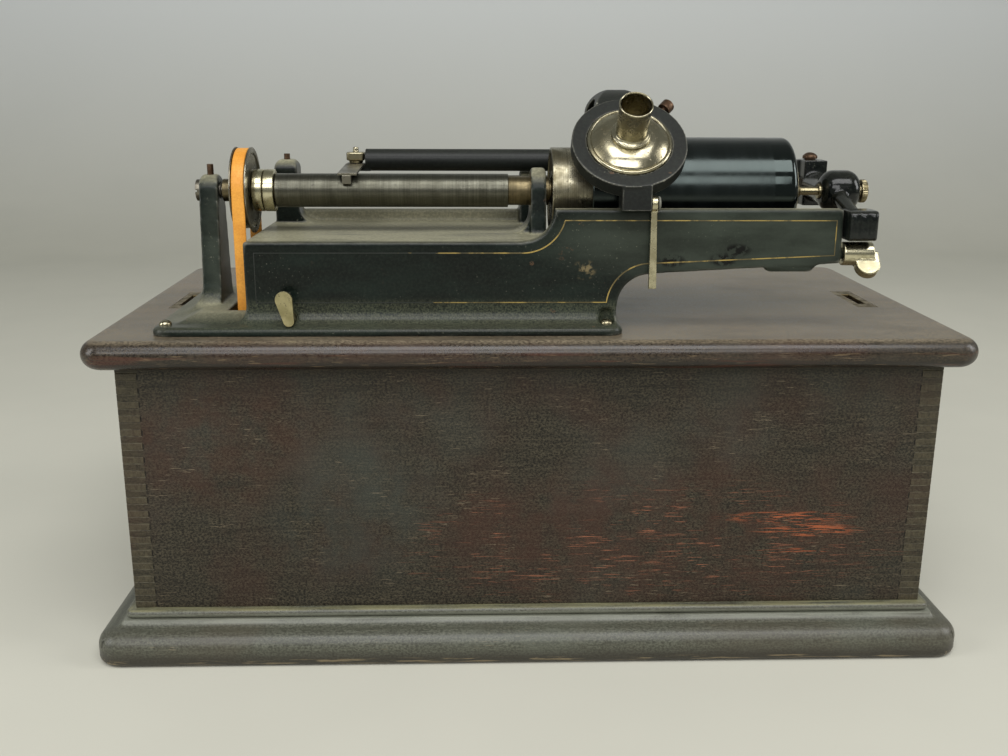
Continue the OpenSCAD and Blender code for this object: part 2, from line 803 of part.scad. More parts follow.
module bed_casting() {
    color("#2b322e") difference() {
        union() {
            bed_flange();
            bed_coves();
            plinth();
            post_flare();
            block([bed_left, rise_x - 2.3], [front_y, rear_y], [board_top, deck_z]);
            block([rise_x - 2.3 - eps, foot_right], [front_y, rear_y], [board_top, low_deck_z]);
            along_y([front_y, front_y + plate_t]) bed_outline();
            post([shaft_y, shaft_z], post_r, board_top + flange_t - 1, post_foot, flare_r + 1, left_post, 4);
            post([shaft_y, shaft_z], mid_post_r, deck_z - 1, 15, 1, mid_post, 2.5);
            post([rod_y, rod_z], centre_post_r, deck_z - 1, 12, 1, centre_post, 2.5);
            intersection() {
                along_x(back_post) {
                    translate([rod_y, (deck_z + back_post_top) / 2])
                        round_rect(17, back_post_top - deck_z, 6);
                    translate([rod_y - 8.5, deck_z - 1]) square([17, 9]);
                }
                along_y([rod_y - 12, rod_y + 12])
                    rounded_top(back_post, deck_z - 1, back_post_top + 0.6, 5.5);
            }
            along_y([rod_y - 8.5, rod_y + 8.5])
                translate([back_post[1] - eps, deck_z - eps]) cove(10);
            along_y([shaft_y - 11, shaft_y + 11]) {
                translate([mid_post[0] + eps, deck_z - eps]) mirror([1, 0]) cove(10);
            }
            block([back_post[1] - 1, centre_post[0] + 1], [rear_y - rail_t, rear_y],
                [deck_z - eps, deck_z + rail_h]);
            along_y([front_y + 1, front_y + plate_t - 1])
                polygon([[lug_x[0] - 4, arch_top + arm_taper], [lug_x[0], arch_top + 0.8],
                    [lug_x[1], arch_top + 0.8], [lug_x[1] + 4, arch_top + arm_taper]]);
            bar_x([latch_y, latch_z], latch_pin_d, [arm_end - eps, latch_x[1] - 1]);
        }
        bed_cavity();
        block(belt_slot[0] + [0, eps], belt_slot[1], [board_top - 1, plinth_z + 1]);
        bar_x([shaft_y, shaft_z], left_bore, [left_post[0] - 1, left_post[1] + 1]);
        bar_x([shaft_y, shaft_z], bush_d, [mid_post[0] - 1, mid_post[1] + 1]);
        bar_x([rod_y, rod_z], rod_d, [back_post[0] - 1, centre_post[1] + 1]);
        for (x = bed_screw_x, y = bed_screw_y) {
            translate([x, y, board_top - 1]) cylinder(d = bed_screw_shank, h = flange_t + 2);
            translate([x, y, board_top + flange_t]) cylinder(d = bed_screw_d + 1.6, h = cove_r);
        }
        for (p = set_screw_pos)
            translate([p[0], p[1], shaft_z]) cylinder(d = set_screw_d, h = p[2] - shaft_z + 1);
        along_y([front_y - flange_w, front_y + plate_t + 1])
            translate(lever_axis) circle(d = start_pin_d + 2 * run_gap);
    }
}

set_screw_d = 3.4;
set_screw_pos = [
    [(left_post[0] + left_post[1]) / 2, shaft_y, shaft_z + post_r],
    [(back_post[0] + back_post[1]) / 2, rod_y, back_post_top]];
set_screw_up = [5, 3];

// Slotted pins on the left post and the left back post
module set_screws() {
    low = [left_bore / 2, rod_d / 2];
    color("#4b463c") for (i = [0, 1])
        let (p = set_screw_pos[i])
        translate([p[0], p[1], shaft_z + low[i]]) difference() {
            cylinder(d = set_screw_d, h = p[2] - shaft_z - low[i] + set_screw_up[i]);
            translate([-3, -0.35, p[2] - shaft_z - low[i] + set_screw_up[i] - 1]) cube([6, 0.7, 2]);
        }
}

// Round-headed screws that hold the flange to the board
module bed_screws() {
    head_h = 2.6;
    color("#6f6a5a") for (x = bed_screw_x, y = bed_screw_y)
        translate([x, y, board_top + flange_t]) {
            translate([0, 0, eps - bed_screw_l]) cylinder(d = bed_screw_shank, h = bed_screw_l);
            intersection() {
                cylinder(d = bed_screw_d, h = head_h);
                translate([0, 0, head_h - bed_screw_d * 0.62]) sphere(d = bed_screw_d * 1.24);
            }
        }
}

// Cone point along X, its base at x and its tip ahead of it
module cone_point(x, dir) {
    translate([x, shaft_y, shaft_z]) rotate([0, 90 * dir, 0])
        cylinder(d1 = cone_d, d2 = 0.4, h = cone_l);
}

// Screw with a cone point that carries the shaft's left end
module left_centre_screw() {
    color("#55503f") difference() {
        union() {
            bar_x([shaft_y, shaft_z], left_bore, [left_post[0] - eps, left_post[1] + 0.6]);
            bar_x([shaft_y, shaft_z], cone_d, [left_post[1], shaft_left - cone_gap]);
            cone_point(shaft_left - cone_gap - eps, 1);
            bar_x([shaft_y, shaft_z], 11.5, [left_post[0] - 2.6, left_post[0]]);
        }
        block([left_post[0] - 3, left_post[0] - 1.6], [shaft_y - 7, shaft_y + 7],
            [shaft_z - 0.6, shaft_z + 0.6]);
    }
}

module shaft_bush() {
    color("#8c7346") tube_along_x([shaft_y, shaft_z], bush_d, journal_d + 2 * run_gap, mid_post);
}

// Rod behind the shaft, flat and bored at its right end for the gate
module back_rod() {
    color("#6e6a5c") difference() {
        union() {
            bar_x([rod_y, rod_z], rod_d, [rod_left, tongue_x]);
            translate([gate_at, rod_y, rod_z - tongue_t / 2]) cylinder(r = tongue_r, h = tongue_t);
            block([tongue_x - eps, gate_at], [rod_y - rod_d / 2 + 0.6, rod_y + rod_d / 2 - 0.6],
                [rod_z - tongue_t / 2, rod_z + tongue_t / 2]);
        }
        translate([gate_at, rod_y, rod_z - 20]) cylinder(d = pivot_d, h = 40);
    }
}

// Vertical screw on which the gate swings
module gate_pivot() {
    head_d = pivot_d + 2.4;
    color("#6a4d3a") translate([gate_at, rod_y, 0]) {
        translate([0, 0, ear_low - 0.4]) cylinder(d = pivot_d, h = ear_top - ear_low + 0.4 + face_gap);
        difference() {
            translate([0, 0, ear_top + face_gap - eps]) intersection() {
                cylinder(d = head_d, h = 3.6);
                translate([0, 0, 3.6 - head_d * 0.62]) sphere(d = head_d * 1.24);
            }
            translate([-8, -0.5, ear_top + face_gap + 2.4]) cube([16, 1, 3]);
        }
    }
}

// Flat belt round the shaft pulley and the motor pulley
module drive_belt() {
    out_r = belt_r + belt_t;
    span = [belt_x - belt_w / 2, belt_x + belt_w / 2];
    color("#d9892f") {
        for (s = [-1, 1])
            block(span, s < 0 ? [shaft_y - out_r, shaft_y - belt_r] : [shaft_y + belt_r, shaft_y + out_r],
                [pulley_pos[1], shaft_z]);
        for (end = [[shaft_z, 0], [pulley_pos[1], 180]])
            translate([span[0], shaft_y, end[0]]) rotate([90, 0, 90]) rotate([0, 0, end[1]])
                rotate_extrude(angle = 180) translate([belt_r, 0]) square([belt_t, belt_w]);
    }
}

// Motor plates hang from the board on their feet
motor_screw_d = 5;
motor_screw_l = 10;
motor_screw_x = [plate_left + plate_w + foot_w / 2, plate_right - foot_w / 2];
motor_screw_y = [for (f = foot_y) (f[0] + f[1]) / 2];

module motor_outline() {
    polygon([[plate_front, wall_top], [plate_front, wall_top - 48.5], [plate_front + 8, wall_top - 88],
        [plate_front + 34, wall_top - 114.5], [plate_rear - 12, wall_top - 114.5],
        [plate_rear, wall_top - 96], [plate_rear, wall_top]]);
}

module motor_plate(span, foot_dir) {
    foot = foot_dir > 0 ? [span[1] - eps, span[1] + foot_w] : [span[0] - foot_w, span[0] + eps];
    difference() {
        union() {
            along_x(span) motor_outline();
            for (f = foot_y) block(foot, f, [wall_top - foot_t, wall_top]);
        }
        for (p = pillar_pos) bar_x(p, pillar_d - 3, [span[0] - 1, span[1] + 1]);
        for (x = motor_screw_x, y = motor_screw_y)
            translate([x, y, wall_top - foot_t - 1]) cylinder(d = motor_screw_d, h = foot_t + 2);
        for (p = [pulley_pos, inter_pos]) bar_x(p, arbor_d + 2 * run_gap, [span[0] - 1, span[1] + 1]);
        bar_x(barrel_pos, wind_d + 2 * run_gap, [span[0] - 1, span[1] + 1]);
        bar_x(gov_pos, gov_d + 2 * run_gap, [span[0] - 1, span[1] + 1]);
    }
}

left_span = [plate_left, plate_left + plate_w];
right_span = [plate_right, plate_right + plate_w];

module motor_plate_left() {
    color("#77776f") motor_plate(left_span, 1);
}

module motor_plate_right() {
    color("#77776f") {
        motor_plate(right_span, -1);
        bar_x(click_pos, click_stud_d, [right_span[1] - eps, ratchet_x[1] + 1.5]);
    }
}

module motor_pillars() {
    color("#8b8a80") for (p = pillar_pos) {
        bar_x(p, pillar_d, [left_span[1], right_span[0]]);
        bar_x(p, pillar_d - 3, [left_span[0], right_span[1]]);
    }
}

module motor_screws() {
    color("#6f6a5a") for (x = motor_screw_x, y = motor_screw_y)
        translate([x, y, 0]) {
            translate([0, 0, wall_top - foot_t - 3]) cylinder(d = motor_screw_d + 4, h = 3);
            translate([0, 0, wall_top - foot_t - eps])
                cylinder(d = motor_screw_d, h = foot_t + motor_screw_l);
        }
}

// Shaft with centred ends, journal and thin right end
module main_shaft() {
    color("#97917c") difference() {
        union() {
            bar_x([shaft_y, shaft_z], shaft_d, [shaft_left, stub_x]);
            bar_x([shaft_y, shaft_z], journal_d, journal_x);
            bar_x([shaft_y, shaft_z], stub_d, [stub_x - eps, shaft_right]);
        }
        cone_point(shaft_left, 1);
        cone_point(shaft_right, -1);
    }
}

module feed_screw() {
    color("#6b6655")
        tube_along_x([shaft_y, shaft_z], screw_d, shaft_d, [screw_x, screw_x + screw_l]);
}

// A grooved pulley along X
module pulley() {
    translate([pulley_x[0], 0, 0]) rotate([0, 90, 0]) rotate_extrude()
        difference() {
            translate([arbor_d / 2, 0]) square([pulley_d / 2 - arbor_d / 2, pulley_x[1] - pulley_x[0]]);
            translate([groove_d / 2, rim_t]) square([groove_depth + 1, belt_w + 0.6]);
            translate([pulley_d / 2 - 7.5, pulley_x[1] - pulley_x[0] - 1.2])
                square([3.2, 1.2 + eps]);
        }
}

module shaft_pulley() {
    color("#8f8a76") difference() {
        translate([0, shaft_y, shaft_z]) pulley();
        bar_x([shaft_y, shaft_z], shaft_d, [pulley_x[0] - 1, pulley_x[1] + 1]);
    }
}

module shaft_collars() {
    color("#a58a52") for (i = [0, 1])
        difference() {
            bar_x([shaft_y, shaft_z], collar_d, [collar_x[i], collar_x[i + 1] - 0.3]);
            bar_x([shaft_y, shaft_z], shaft_d, [collar_x[0] - 1, collar_x[2] + 1]);
            bar_set = (collar_x[i] + collar_x[i + 1]) / 2;
            translate([bar_set, shaft_y, shaft_z + collar_d / 2 - 1.2]) cylinder(d = 2.6, h = 3);
        }
}

// Tapered drum with closed ends; x runs from the thick end
mandrel_l = mandrel_x[1] - mandrel_x[0];
module mandrel() {
    r0 = mandrel_d / 2;
    r1 = mandrel_tip_d / 2;
    color("#b5ab8c") translate([mandrel_x[0], shaft_y, shaft_z]) rotate([0, 90, 0])
        rotate_extrude() difference() {
            polygon([[shaft_d / 2, 0], [r0, 0], [r1, mandrel_l], [shaft_d / 2, mandrel_l]]);
            polygon([[shaft_d / 2 + 4, 4], [r0 - mandrel_wall, 4], [r1 - mandrel_wall, mandrel_l - 4],
                [shaft_d / 2 + 4, mandrel_l - 4]]);
        }
}

// Radius of the mandrel at a distance from its thick end
function mandrel_r(x) = (mandrel_d + (mandrel_tip_d - mandrel_d) * x / mandrel_l) / 2;

module record_cylinder() {
    x0 = record_x - mandrel_x[0];
    fit = 0.1;
    rim = 4;
    r = record_d / 2;
    color("#17191a") translate([record_x, shaft_y, shaft_z]) rotate([0, 90, 0])
        rotate_extrude() difference() {
            union() {
                translate([shaft_d, 0]) square([r - shaft_d - rim, record_l]);
                translate([shaft_d, 0]) square([r - shaft_d, record_l - rim]);
                translate([r - rim, record_l - rim]) circle(rim);
            }
            polygon([[0, -1], [mandrel_r(x0) + fit, -1], [mandrel_r(x0 + record_l) + fit, record_l + 1],
                [0, record_l + 1]]);
        }
}

// A gear along X; turn sets the angle of its first tooth
module gear(pos, n, m, bore, span, turn) {
    translate([0, pos[0], pos[1]]) along_x(span) difference() {
        rotate(turn) polygon(gear_points(n, m));
        circle(d = bore);
    }
}

// Arbor between the plates with its pinion cut in one piece
module toothed_arbor(pos, d, span, n, m, tooth_x, turn) {
    bar_x(pos, d, span);
    translate([0, pos[0], pos[1]]) along_x(tooth_x) rotate(turn) polygon(gear_points(n, m));
}

module pulley_arbor() {
    color("#9a958a") toothed_arbor(pulley_pos, arbor_d, [pulley_x[0] - 2, right_span[1]],
        pinion_n, train_m, pinion_a_x, inter_dir);
}

module motor_pulley() {
    color("#8f8a76") translate([0, pulley_pos[0], pulley_pos[1]]) pulley();
}

module governor_wheel() {
    color("#a58a52") difference() {
        gear(pulley_pos, wheel_n, gov_m, arbor_d, gov_wheel_x, gov_dir);
        for (a = [0 : 60 : 300])
            bar_x(pulley_pos + 14 * gov_m * [cos(a), sin(a)], 8 * gov_m,
                [gov_wheel_x[0] - 1, gov_wheel_x[1] + 1]);
    }
}

module inter_arbor() {
    color("#9a958a") toothed_arbor(inter_pos, arbor_d, [left_span[0], right_span[1]],
        pinion_n, train_m, pinion_b_x, barrel_dir);
}

module inter_wheel() {
    color("#a58a52") difference() {
        gear(inter_pos, wheel_n, train_m, arbor_d, wheel_x, inter_dir + 180 + 180 / wheel_n);
        for (a = [0 : 60 : 300])
            bar_x(inter_pos + 20 * train_m / 1.5 * [cos(a), sin(a)], 14 * train_m / 1.5,
                [wheel_x[0] - 1, wheel_x[1] + 1]);
    }
}

// Drum with the great wheel cut on its right end
module spring_barrel() {
    color("#7d7b70") difference() {
        union() {
            bar_x(barrel_pos, barrel_d, [drum_x[0], drum_x[1] + eps]);
            gear(barrel_pos, barrel_n, train_m, wind_d + 2 * run_gap, great_x,
                barrel_dir + 180 + 180 / barrel_n);
        }
        bar_x(barrel_pos, barrel_d - 2 * drum_wall, [drum_x[0] - 1, drum_x[1] - drum_wall]);
        bar_x(barrel_pos, wind_d + 2 * run_gap, [drum_x[0], great_x[1] + 1]);
    }
}

module barrel_cap() {
    color("#8d8b80") tube_along_x(barrel_pos, barrel_d - 2 * drum_wall, wind_d + 2 * run_gap,
        [drum_x[0], drum_x[0] + cap_t]);
}

// Coiled strip between the winding arbor and the drum
module mainspring() {
    strip_t = 1.2;
    turns = 7;
    r0 = wind_d / 2 + run_gap + 0.3;
    r1 = barrel_d / 2 - drum_wall - strip_t - 0.3;
    color("#55595c") translate([0, barrel_pos[0], barrel_pos[1]])
        along_x([drum_x[0] + cap_t + 1, drum_x[1] - drum_wall - 1])
            polygon(spiral_points(r0, r1, turns, strip_t, turns * 16));
}

module winding_arbor() {
    end_x = right_span[1] + wind_out;
    color("#9a958a") difference() {
        bar_x(barrel_pos, wind_d, [left_span[0], end_x]);
        block([end_x - 8, end_x + 1], [barrel_pos[0] - 1.6, barrel_pos[0] + 1.6],
            [barrel_pos[1] - 10, barrel_pos[1] + 10]);
    }
}

module ratchet_wheel() {
    color("#a58a52") translate([0, barrel_pos[0], barrel_pos[1]]) along_x(ratchet_x) difference() {
        rotate(88) polygon(ratchet_points(ratchet_n, ratchet_r, 2.6));
        circle(d = wind_d);
    }
}

// Click that rests in the ratchet teeth, drawn from the wheel's centre
module ratchet_click() {
    tip = ratchet_r - 1.9;
    stud = click_pos - barrel_pos;
    color("#8d8b80") translate([0, barrel_pos[0], barrel_pos[1]]) along_x(ratchet_x) difference() {
        union() {
            translate(stud) circle(5);
            polygon([[-0.3, tip], [-0.3, ratchet_r + 0.8], stud + [0, 5], stud - [0, 5],
                [-4.3, ratchet_r + 0.4]]);
        }
        translate(stud) circle(d = click_stud_d + 2 * run_gap);
    }
}

module governor_spindle() {
    color("#9a958a") toothed_arbor(gov_pos, gov_d, [left_span[0], right_span[1]], pinion_n, gov_m,
        gov_pinion_x, gov_dir + 180 + 180 / pinion_n);
}

// Disc that slides as the weights fly out
module governor_disc() {
    color("#a58a52") {
        tube_along_x(gov_pos, 2 * disc_r, gov_d, disc_x);
        tube_along_x(gov_pos, 12, gov_d, [disc_x[1] - eps, disc_x[1] + 5]);
    }
}

// Fixed hub with three leaf springs and their weights
module governor_weights() {
    leaf_w = 5;
    leaf_s = 0.8;
    color("#b08d4a") tube_along_x(gov_pos, 14, gov_d, hub_right_x);
    color("#8d8b80") for (a = [30, 150, 270])
        translate([0, gov_pos[0], gov_pos[1]]) rotate([a, 0, 0]) {
            block([disc_x[1] + 1, weight_x], [-leaf_w / 2, leaf_w / 2], [6.2, 6.2 + leaf_s]);
            block([weight_x - eps, hub_right_x[1]], [-leaf_w / 2, leaf_w / 2], [6.2, 6.2 + leaf_s]);
            translate([weight_x, 0, 6.2 + leaf_s - eps]) cylinder(d = 4, h = 3);
            translate([weight_x, 0, 9 + weight_d / 2 - 0.5]) sphere(d = weight_d);
        }
}

// Tab outside the front wall, pin through it, cranked arm to the governor disc
module start_lever() {
    tab_t2 = 2;
    out_y = front_y - cove_r - tab_t2 - 0.3;
    in_y = start_in_y;
    low_z = gov_pos[1] + 9;
    cross_z = wall_top - 12;
    color("#b7ac80") {
        along_y([out_y, out_y + tab_t2]) translate(lever_axis) rotate(start_lean) {
            translate([0, tab_l]) circle(tab_r);
            circle(2.8);
            polygon([[-2.8, 0], [2.8, 0], [tab_r, tab_l], [-tab_r, tab_l]]);
        }
        along_y([out_y + tab_t2 - eps, in_y + eps]) translate(lever_axis) circle(d = start_pin_d);
        along_y([in_y, in_y + 4]) translate(lever_axis) {
            circle(5);
            translate([-2.5, cross_z - lever_axis[1]]) square([5, lever_axis[1] - cross_z]);
        }
        block([lever_axis[0] - 2.5, arm_x], [in_y, in_y + 4], [cross_z - 4, cross_z + eps]);
        block([arm_x - 4, arm_x], [in_y, arm_back + 4], [cross_z - 4, cross_z]);
        block([arm_x - 4, arm_x], [arm_back, arm_back + 4], [low_z, cross_z]);
        block([arm_x - 4, disc_x[0] - face_gap], [arm_back, arm_back + 5], [low_z - 5, low_z + 3]);
    }
}

module sleeve_bush() {
    color("#8c7346")
        tube_along_x([rod_y, rod_z], bush_d_out, rod_d + 2 * run_gap, sleeve_x);
}

// Place of the reproducer's face, turned so that its axis is local Z
module at_face() {
    translate([repro_at, face_y, face_z]) rotate([repro_tilt, 0, 0]) children();
}

// Sleeve, arched back, ring and front block in one casting
module carriage_arm() {
    clear_d = repro_d + 0.2;
    color("#23282a") difference() {
        union() {
            bar_x([rod_y, rod_z], sleeve_d, sleeve_x);
            intersection() {
                along_x(arch_x) difference() {
                    union() {
                        intersection() {
                            translate([arch_y, arch_z]) circle(arch_out);
                            polygon([[arch_y, arch_z], [arch_y + 60, arch_z], [arch_y + 60, arch_z + 60],
                                [arch_y + 60 * cos(arch_end), arch_z + 60],
                                [arch_y + 60 * cos(arch_end), arch_z + 60 * sin(arch_end)]]);
                        }
                        translate([arch_y + arch_out - arch_band, rod_z])
                            square([arch_band, arch_z - rod_z]);
                    }
                    translate([arch_y, arch_z]) circle(arch_out - arch_band);
                }
                along_y([front_y, rear_y])
                    rounded_top(arch_x, rod_z - 5, arch_z + arch_out + 0.6, arch_round);
            }
            at_face() translate([0, 0, -ring_t]) cylinder(d = ring_d, h = ring_t);
            block(block_x, block_y, [edge_z + 0.3, block_top]);
            bar_x([pivot_y, lever_z], lever_pin_d, [block_x[1] - eps, lever_x[0] + 4]);
            bar_x([pivot_y, lever_z], lever_pin_d + 3.4, [lever_x[0] + 3.2, lever_x[0] + 4.6]);
        }
        at_face() translate([0, 0, -ring_t - 3]) cylinder(d = clear_d, h = ring_t + 30);
        at_face() cylinder(d = 2 * ring_d, h = 12);
        bar_x([rod_y, rod_z], bush_d_out + 2 * run_gap, [sleeve_x[0] - 1, sleeve_x[1] + 1]);
        bar_x([tube_y, tube_z], tube_d, [tube_x[0], tube_x[1]]);
        at_face() rotate([0, 0, clamp_turn]) translate([0, 0, -ring_t * 0.36]) rotate([0, 90, 0])
            cylinder(d = 3, h = ring_d);
    }
}

// Tube that carries the feed nut, flattened into a tab at its left end
module feed_nut_tube() {
    color("#1f2425") {
        bar_x([tube_y, tube_z], tube_d, tube_x);
        block(tab_x, [tube_y - 5, tube_y + 5], [tab_z - tab_t, tab_z]);
    }
}

// Flat spring under the thumb nut, bent down to the half nut
module feed_nut_spring() {
    color("#a59c83") difference() {
        along_x([tab_x[0], tube_x[0] - 0.6])
            polygon([[tube_y + 5, tab_z], [tube_y + 5, tab_z + spring_t], [bend_y, tab_z + spring_t],
                [plate_y, tab_z + spring_t - plate_drop], [plate_y, tab_z - plate_drop], [bend_y, tab_z]]);
        translate([stud_x, tube_y, tab_z - 1]) cylinder(d = 3.2, h = 4);
    }
}

// Nut block with half a thread, resting over the feed screw
module half_nut() {
    nut_back = plate_y + 7;
    back_z = tab_z - plate_drop * (bend_y - nut_back) / (bend_y - plate_y);
    color("#8c7346") difference() {
        along_x(nut_x) polygon([[plate_y, shaft_z + 4.2], [nut_back, shaft_z + 4.2],
            [nut_back, back_z], [plate_y, tab_z - plate_drop]]);
        bar_x([shaft_y, shaft_z], screw_d + 0.6, [nut_x[0] - 1, nut_x[1] + 1]);
    }
}

module thumb_nut() {
    color("#b5ab8c") translate([stud_x, tube_y, 0]) {
        translate([0, 0, tab_z]) cylinder(d = 3.2, h = spring_t + 9);
        translate([0, 0, tab_z + spring_t]) cylinder(d = 8, h = 1.6);
        translate([0, 0, tab_z + spring_t + 1.6 - eps]) linear_extrude(4.6) round_rect(10.2, 9.4, 2);
    }
}

// Dome, neck and body of the reproducer
module reproducer() {
    dome_h = 6;
    dome_r = (pow(repro_d / 2, 2) + dome_h * dome_h) / (2 * dome_h);
    color("#b9ae8e") at_face() difference() {
        union() {
            translate([0, 0, -ring_t]) cylinder(d = repro_d, h = ring_t);
            intersection() {
                translate([0, 0, dome_h - dome_r]) sphere(r = dome_r, $fn = 64);
                translate([0, 0, -eps]) cylinder(d = repro_d, h = dome_h + 1);
            }
            cylinder(d = neck_d, h = neck_l);
            translate([0, 0, dome_h - 3]) cylinder(d = neck_d + 3.6, h = 3.6);
        }
        translate([0, 0, 2 - ring_t]) cylinder(d = neck_d - 2 * neck_wall, h = neck_l + ring_t);
        translate([0, 0, -ring_t - 1]) cylinder(d = repro_d - 6, h = 4);
    }
}

// Thin disc that closes the reproducer from below
module diaphragm() {
    color("#c9c2a8") at_face() translate([0, 0, 2.6 - ring_t]) cylinder(d = repro_d - 6, h = 0.4);
}

// Weighted bar that carries the stylus to the record
module stylus_bar() {
    stem = face_drop() - ring_t;
    color("#8d8672") at_face() translate([0, 0, -ring_t]) {
        translate([0, 0, -2]) cylinder(d = repro_d - 12, h = 2);
        translate([0, stylus_shift(), 0.4 - stem]) cylinder(d = 3, h = stem - 1);
        translate([0, 0, -eps]) cylinder(d = 4, h = 2.6 + eps);
    }
}

// Distance of the record below the reproducer's face, and its offset along it
function axis_y() = (shaft_y - face_y) * cos(repro_tilt) + (shaft_z - face_z) * sin(repro_tilt);
function axis_z() = -(shaft_y - face_y) * sin(repro_tilt) + (shaft_z - face_z) * cos(repro_tilt);
function stylus_shift() = axis_y();
function face_drop() = -axis_z() - record_d / 2;

module clamp_screw() {
    color("#6a4d3a") at_face() rotate([0, 0, clamp_turn]) translate([0, 0, -ring_t * 0.36]) rotate([0, 90, 0]) {
        translate([0, 0, repro_d / 2 + 0.2]) cylinder(d = 3, h = ring_d / 2 - repro_d / 2 + 4);
        translate([0, 0, ring_d / 2 + 2]) cylinder(d = 7, h = 5);
    }
}

// Strap on the front block that lifts the carriage
module lift_lever() {
    color("#b9ab7d") difference() {
        union() {
            bar_x([pivot_y, lever_z], lever_eye_d, [lever_x[0], lever_x[0] + 2.8]);
            along_y([pivot_y - lever_t / 2, pivot_y + lever_t / 2])
                polygon([[lever_x[0], lever_z + 2], [lever_x[0] + 2.8, lever_z + 2],
                    [lever_x[1], lever_z - lever_l + 2], [lever_x[0], lever_z - lever_l + 2]]);
        }
        bar_x([pivot_y, lever_z], lever_pin_d + 2 * run_gap, [lever_x[0] - 1, lever_x[1] + 1]);
    }
}

// Egg-shaped hub along X
module gate_hub() {
    r = hub_d / 2;
    l = hub_x[1] - hub_x[0];
    translate([hub_x[0], shaft_y, shaft_z]) rotate([0, 90, 0]) rotate_extrude() {
        square([r - hub_round, l]);
        translate([0, hub_round]) square([r, l - 2 * hub_round]);
        for (z = [hub_round, l - hub_round])
            translate([r - hub_round, z]) intersection() {
                circle(hub_round);
                translate([0, -hub_round]) square([hub_round, 2 * hub_round]);
            }
    }
}

// Handle: round box with two flutes in its front
module gate_knob() {
    mid = [(knob_x[0] + knob_x[1]) / 2, (knob_y[0] + knob_y[1]) / 2, (knob_z[0] + knob_z[1]) / 2];
    flute_r = 1.6;
    difference() {
        intersection() {
            along_x(knob_x) translate([mid[1], mid[2]])
                round_rect(knob_y[1] - knob_y[0], knob_z[1] - knob_z[0], 4);
            translate([mid[0], mid[1], knob_z[0] - 1]) linear_extrude(knob_z[1] - knob_z[0] + 2)
                round_rect(knob_x[1] - knob_x[0] + 0.6, knob_y[1] - knob_y[0] + 0.6, 4);
        }
        for (x = [mid[0] - 2.4, mid[0] + 2.8])
            translate([x, knob_y[0] - 0.7, knob_z[0] - 1]) cylinder(r = flute_r, h = knob_z[1] - knob_z[0] + 2);
    }
}

// Clevis at the back, round arm, hub on the shaft line, strut and handle at the front
module end_gate() {
    slot_z = [rod_z - tongue_t / 2 - face_gap, rod_z + tongue_t / 2 + face_gap];
    web_y = [rod_y - tongue_r - 5.6, rod_y - tongue_r - 0.8];
    web_x = [gate_at - 6.5, gate_at + 6.5];
    strut = [knob_y[1] - 4 - shaft_y, (knob_z[0] + knob_z[1]) / 2 + 2 - shaft_z];
    color("#1f2426") difference() {
        union() {
            translate([gate_at, rod_y, ear_low]) cylinder(r = ear_r, h = slot_z[0] - ear_low);
            translate([gate_at, rod_y, slot_z[1]]) cylinder(r = ear_r, h = ear_top - slot_z[1]);
            block(web_x, web_y, [ear_low, ear_top]);
            block(web_x, [web_y[1] - eps, rod_y], [ear_low, slot_z[0]]);
            block(web_x, [web_y[1] - eps, rod_y], [slot_z[1], ear_top]);
            translate([gate_at, shaft_y, shaft_z]) rotate([-90, 0, 0])
                cylinder(d1 = 17, d2 = 15, h = web_y[0] + 2 - shaft_y);
            gate_hub();
            translate([gate_at + 1.5, shaft_y, shaft_z]) rotate([90 - atan2(strut[1], -strut[0]), 0, 0])
                cylinder(d1 = 9, d2 = 7, h = norm(strut));
            gate_knob();
        }
        translate([gate_at, rod_y, ear_low - 1]) cylinder(d = pivot_d + 2 * run_gap, h = 40);
        bar_x([shaft_y, shaft_z], centre_d, [hub_x[0] - 1, hub_x[1] + 1]);
    }
}

// Centre with a cone point and a knurled head
module gate_centre() {
    head_x = hub_x[1] + 1;
    color("#a58a52") {
        cone_point(shaft_right + cone_gap + eps, -1);
        bar_x([shaft_y, shaft_z], cone_d, [shaft_right + cone_gap, hub_x[0] - 1 + eps]);
        bar_x([shaft_y, shaft_z], centre_d, [hub_x[0] - 1, head_x + eps]);
        bar_x([shaft_y, shaft_z], 12.4, [head_x, head_x + 3.2]);
    }
}

// Barrel that turns on a stud, with a thumb tab
module gate_latch() {
    lobe = [latch_x[1] - 3.2, 7.5, 6.2];
    lobe_t = 5.2;
    color("#b59a60") difference() {
        union() {
            bar_x([latch_y, latch_z], latch_d, latch_x);
            translate([0, latch_y, latch_z]) rotate([-130, 0, 0]) translate([0, 0, -lobe_t / 2])
                linear_extrude(lobe_t) {
                    translate([lobe[0], lobe[1]]) circle(lobe[2]);
                    translate([lobe[0] - lobe[2], 0]) square([2 * lobe[2], lobe[1]]);
                }
        }
        bar_x([latch_y, latch_z], latch_pin_d + 2 * run_gap, [latch_x[0] - 1, latch_x[1] - 1 + face_gap]);
    }
}

wall_front();
wall_back();
wall_left();
wall_right();
floor_panel();
moulding_long();
moulding_short();
hinge_lower_leaves();
hinge_pins();
crank_bush();
top_board();
clip_slot_plates();
hinge_upper_leaves();
bed_casting();
bed_screws();
left_centre_screw();
set_screws();
shaft_bush();
back_rod();
gate_pivot();
drive_belt();
motor_plate_left();
motor_plate_right();
motor_pillars();
motor_screws();
main_shaft();
feed_screw();
shaft_pulley();
shaft_collars();
mandrel();
record_cylinder();
pulley_arbor();
motor_pulley();
governor_wheel();
inter_arbor();
inter_wheel();
spring_barrel();
barrel_cap();
mainspring();
winding_arbor();
ratchet_wheel();
ratchet_click();
governor_spindle();
governor_disc();
governor_weights();
start_lever();
sleeve_bush();
carriage_arm();
feed_nut_tube();
feed_nut_spring();
half_nut();
thumb_nut();
reproducer();
diaphragm();
stylus_bar();
clamp_screw();
lift_lever();
end_gate();
gate_centre();
gate_latch();
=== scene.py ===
"""Finishes, fine detail and stage for a belt-driven cylinder phonograph."""

import json
import math

